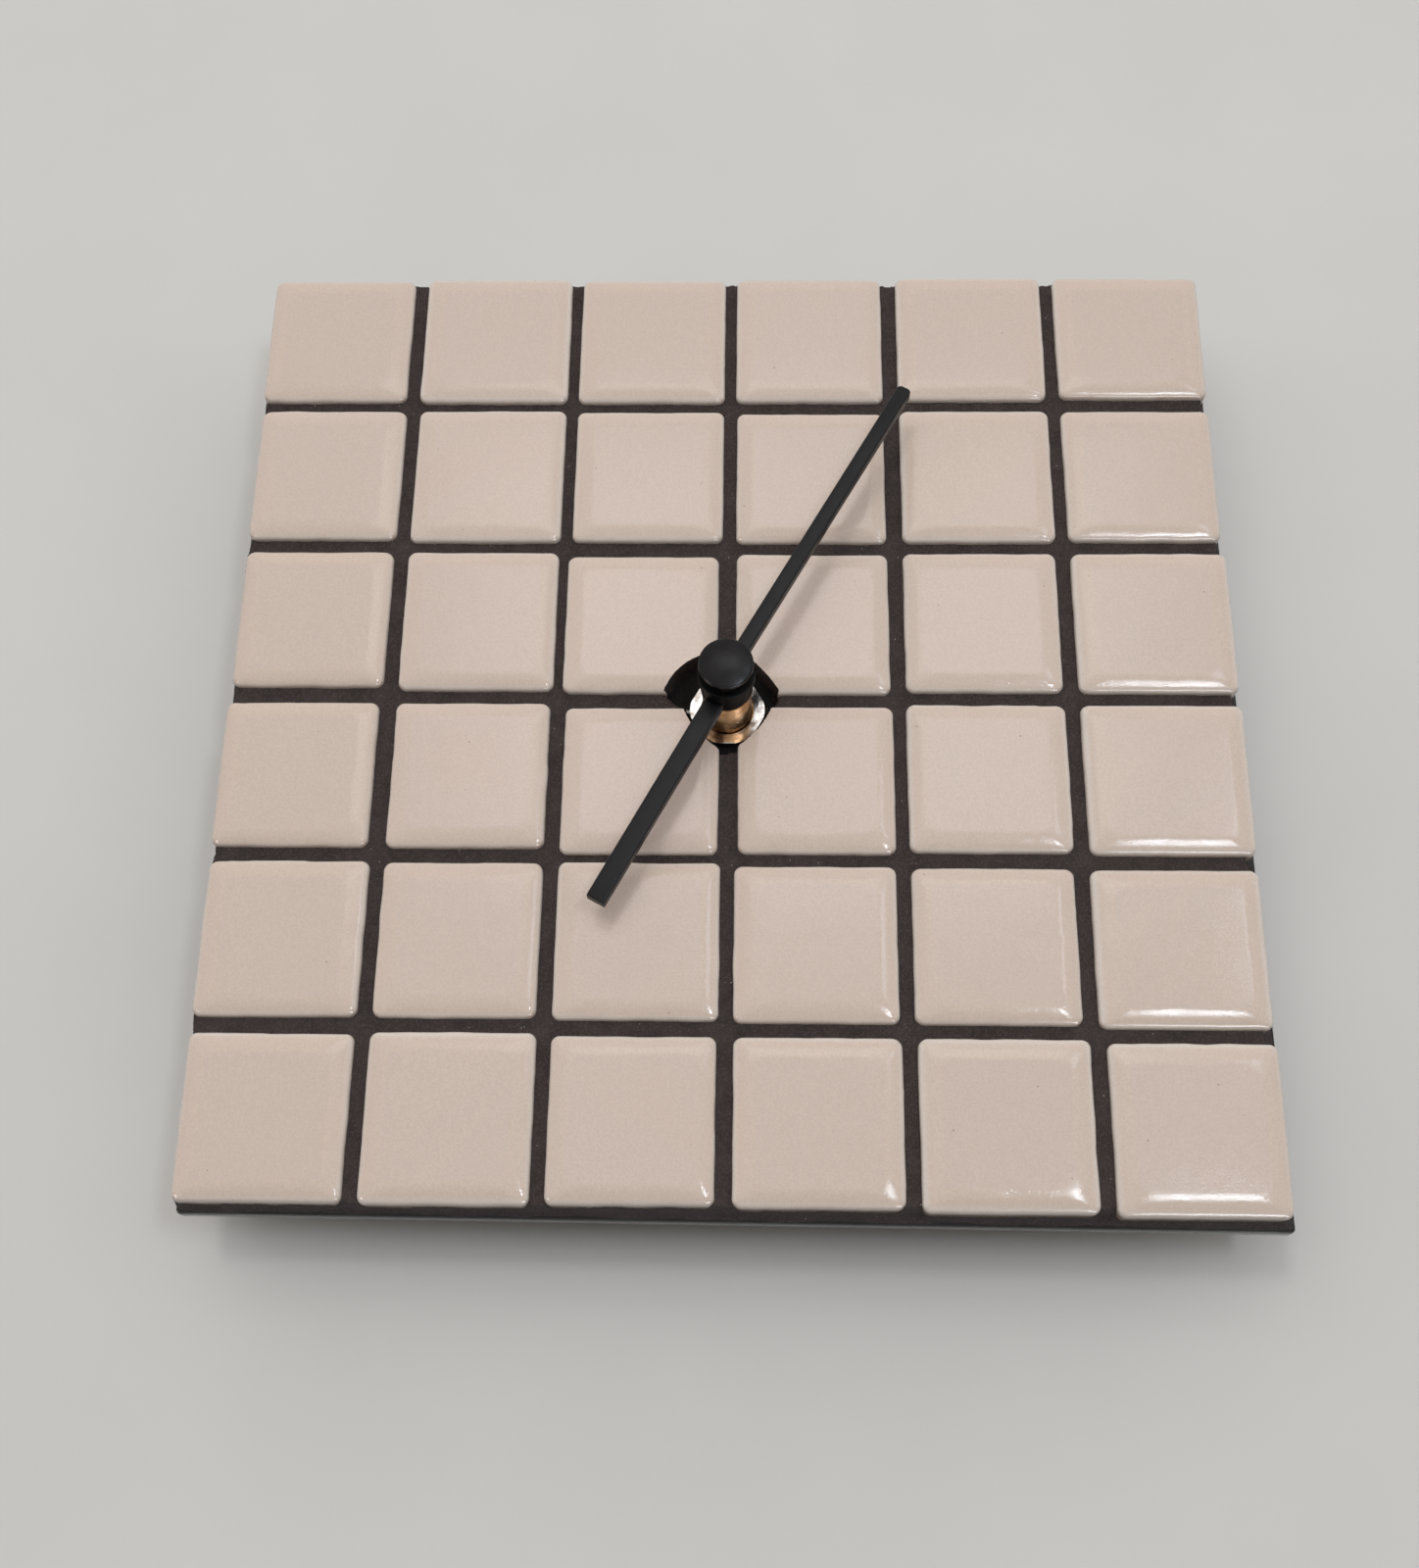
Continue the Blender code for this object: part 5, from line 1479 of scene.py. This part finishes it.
@dataclass
class Movement:
    """The battery movement behind the board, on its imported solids."""

    finishes: Finishes
    nodes: dict[str, bpy.types.Object]
    edge_angle: float = 50.0
    edge_steps: int = 2
    cell_half: float = 25.25
    cell_place: Point2 = (-7.6, -19.4)
    cell_steps: int = 72
    # Sections of the cell, as radius and distance in from the flat end and from the nipple end.
    sleeve: tuple[tuple[Point2, ...], ...] = (
        ((6.3, 0.35), (6.9, 0.4), (7.1, 0.7)), ((7.1, 1.9), (6.9, 1.6), (6.2, 1.5)))
    ends: tuple[tuple[Point2, ...], ...] = (
        ((0.0, 0.1), (4.0, 0.0), (6.2, 0.1), (6.4, 0.5)),
        ((6.4, 1.6), (6.0, 1.35), (3.1, 1.3), (2.75, 1.1), (2.75, 0.2), (2.5, 0.0), (0.0, 0.0)))

    def dress(self, node: str, finish: Finish, edge: float = 0.0) -> None:
        """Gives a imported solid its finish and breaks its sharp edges.

        Args:
            node: The node.
            finish: Its finish.
            edge: Width of the broken edge, or 0 for sharp edges.
        """
        thing = self.nodes[node]
        thing.data.materials.clear()
        thing.data.materials.append(self.finishes.get(finish))
        if edge > 0:
            bevel = thing.modifiers.new("Broken edge", "BEVEL")
            bevel.width = edge * MM
            bevel.segments = self.edge_steps
            bevel.limit_method = "ANGLE"
            bevel.angle_limit = math.radians(self.edge_angle)
            bevel.harden_normals = False
        LOG.info("%s dressed in %s", node, finish.name)

    def build_cell_part(self, name: str, section: Sequence[Sequence[Point2]], finish: Finish) -> None:
        """Turns a section about the cell's axis.

        Args:
            name: The part's name.
            section: The part's section at the flat end and at the nipple end.
            finish: Its finish.
        """
        flat_end, nipple_end = section
        profile = [(radius, inset - self.cell_half) for radius, inset in flat_end]
        profile += [(radius, self.cell_half - inset) for radius, inset in nipple_end]
        angles = turn_angles(self.cell_steps)
        rings = [np.column_stack([np.full(self.cell_steps, x), circle(radius, angles) + self.cell_place])
                 for radius, x in profile]
        made = skin(name, rings, [self.finishes.get(finish)])
        stand_for(made, Body.CLOCK, "battery")

    def build(self) -> None:
        """Dresses the movement."""
        self.dress("movement_front_case", CASE_PLASTIC, edge=0.25)
        self.dress("movement_rear_cover", COVER_PLASTIC, edge=0.12)
        self.dress("rubber_gasket", GASKET_RUBBER, edge=0.15)
        self.dress("setting_wheel", KNOB_PLASTIC, edge=0.08)
        for wheel in ("hour_wheel", "centre_wheel", "third_wheel", "second_wheel", "fifth_wheel"):
            self.dress(wheel, WHEEL_PLASTIC)
        self.dress("minute_arbor", STEEL)
        self.dress("rotor", MAGNET)
        self.dress("stator", LAMINATION, edge=0.05)
        self.dress("coil", WINDING)
        self.dress("circuit_board", CIRCUIT_LACQUER)
        self.dress("contact_positive", NICKEL)
        self.dress("contact_negative", NICKEL)
        self.build_cell_part("cell_sleeve", self.sleeve, CELL_SLEEVE)
        self.build_cell_part("cell_ends", self.ends, NICKEL)


class Reach(Enum):
    """Which surfaces a lamp acts on: whether shiny ones mirror it and whether it lights matt ones."""

    ALL = (True, True)
    MATT = (False, True)
    SHINY = (True, False)


@dataclass(frozen=True)
class Lamp:
    """A soft rectangular lamp that faces the clock."""

    name: str
    place: Point3
    size: Point2
    watts: float
    reach: Reach = Reach.ALL
    colour: Colour = (1.0, 1.0, 1.0)

    def build(self) -> None:
        """Hangs the lamp."""
        data = bpy.data.lights.new(self.name, "AREA")
        data.shape = "RECTANGLE"
        data.size, data.size_y = (side * MM for side in self.size)
        data.energy = self.watts
        data.color = self.colour
        made = bpy.data.objects.new(self.name, data)
        made.location = [c * MM for c in self.place]
        made.rotation_mode = "QUATERNION"
        made.rotation_quaternion = (-Vector(made.location)).to_track_quat("-Z", "Y")
        mirrored, lights_up = self.reach.value
        made.visible_glossy = made.visible_transmission = mirrored
        made.visible_diffuse = lights_up
        bpy.context.scene.collection.objects.link(made)


@dataclass
class Studio:
    """The pale wall and floor, soft lamps and the camera."""

    wall_gap: float = 0.6
    floor: float = -520.0
    far: float = 2600.0
    wall_colour: Colour = shade(226, 224, 221)
    bounce_colour: Colour = shade(112, 106, 102)
    patches: Texture = clouds(0.02, 4.0)
    patch_span: Point2 = (0.3, 0.7)
    patch_tone: float = 0.97
    air: Colour = (1.0, 0.985, 0.965)
    air_strength: float = 0.66
    lamps: tuple[Lamp, ...] = (
        Lamp("key", (-160, -1120, 140), (800, 800), 2.4, Reach.MATT),
        Lamp("bulb", (-160, -1120, 130), (140, 140), 1.2, Reach.MATT, (1.0, 0.98, 0.95)),
        Lamp("back", (0, 1300, 60), (500, 500), 15.0, Reach.MATT),
        Lamp("ceiling", (40, -1000, 460), (500, 360), 0.65, Reach.SHINY),
        Lamp("window", (300, -975, -92), (84, 200), 1.2, Reach.ALL, (0.80, 0.90, 1.0)),
        Lamp("shelf", (-620, -540, -315), (160, 160), 1.0, Reach.SHINY, (1.0, 0.97, 0.94)),
        Lamp("pane", (405, -930, 275), (110, 160), 0.2, Reach.SHINY, (0.72, 0.84, 1.0)),
        Lamp("sill", (310, -300, -450), (400, 130), 1.8, Reach.SHINY, (0.94, 0.97, 1.0)))
    camera_place: Point3 = (4.64, -298.5, -122.8)
    camera_right: Point3 = (0.99968, 0.02141, 0.01336)
    camera_up: Point3 = (-0.00451, -0.36956, 0.92920)
    camera_look: Point3 = (-0.02483, 0.92896, 0.36934)
    camera_clip: Point2 = (0.005, 20.0)
    lens: float = 42.43
    film: float = 36.0

    def stage_finish(self, name: str) -> bpy.types.Material:
        """A matt surface, pale to look at and dim in the light that it returns.

        It is clear from behind and to the rays that go to lamps.

        Args:
            name: The material's name.

        Returns:
            The material.
        """
        r = Recipe(name)
        deep = tuple(c * self.patch_tone for c in self.wall_colour)
        pale = r.blend(r.levels(r.pattern(self.patches), self.patch_span), deep, self.wall_colour)
        rays = r.node("ShaderNodeLightPath").outputs
        seen = r.reckon("ADD", rays["Is Camera Ray"], rays["Is Glossy Ray"], clamp=True)
        seen = r.reckon("ADD", seen, rays["Is Transmission Ray"], clamp=True)
        r.set(Base_Color=r.blend(seen, self.bounce_colour, pale), Roughness=0.9)
        side = r.node("ShaderNodeNewGeometry").outputs["Backfacing"]
        mix = r.node("ShaderNodeMixShader")
        r.feed(r.reckon("MAXIMUM", side, rays["Is Shadow Ray"]), mix.inputs["Fac"])
        r.feed(r.shader.outputs["BSDF"], mix.inputs[1])
        r.feed(r.node("ShaderNodeBsdfTransparent").outputs["BSDF"], mix.inputs[2])
        r.feed(mix.outputs["Shader"], r.tree.nodes["Material Output"].inputs["Surface"])
        return r.material

    def build_plane(self, name: str, corners: Sequence[Point3]) -> None:
        """Makes a stage surface.

        Args:
            name: Its name.
            corners: Its four corners in millimetres.
        """
        mesh = bpy.data.meshes.new(name)
        mesh.from_pydata([[c * MM for c in corner] for corner in corners], [], [[0, 1, 2, 3]])
        mesh.materials.append(self.stage_finish(name + "_paint"))
        made = bpy.data.objects.new(name, mesh)
        bpy.context.scene.collection.objects.link(made)

    def build_camera(self) -> None:
        """Puts the camera where the photo was taken from."""
        eye = bpy.data.cameras.new("photo_camera")
        eye.lens = self.lens
        eye.sensor_width = self.film
        eye.clip_start, eye.clip_end = self.camera_clip
        camera = bpy.data.objects.new("photo_camera", eye)
        back = [-c for c in self.camera_look]
        axes = Matrix((self.camera_right, self.camera_up, back)).transposed().to_4x4()
        camera.matrix_world = Matrix.Translation([c * MM for c in self.camera_place]) @ axes
        bpy.context.scene.collection.objects.link(camera)
        bpy.context.scene.camera = camera

    def build(self) -> None:
        """Builds the stage, the lamps and the camera."""
        far, gap, low = self.far, self.wall_gap, self.floor
        self.build_plane("wall", [(-far, gap, low), (far, gap, low), (far, gap, far), (-far, gap, far)])
        self.build_plane("floor", [(-far, -far, low), (far, -far, low), (far, gap, low), (-far, gap, low)])
        world = bpy.data.worlds.new("room")
        world.use_nodes = True
        back = world.node_tree.nodes["Background"]
        back.inputs["Color"].default_value = (*self.air, 1.0)
        back.inputs["Strength"].default_value = self.air_strength
        bpy.context.scene.world = world
        for lamp in self.lamps:
            lamp.build()
        self.build_camera()
        bpy.context.scene.view_settings.view_transform = "Standard"


def main() -> None:
    """Builds and dresses the clock in order."""
    logging.basicConfig(level=logging.INFO, format="%(name)s: %(message)s")
    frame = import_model()
    finishes = Finishes()
    Mosaic(finishes).build()
    Hub(finishes).build()
    Movement(finishes, frame["nodes"]).build()
    Studio().build()


if __name__ == "__main__":
    main()
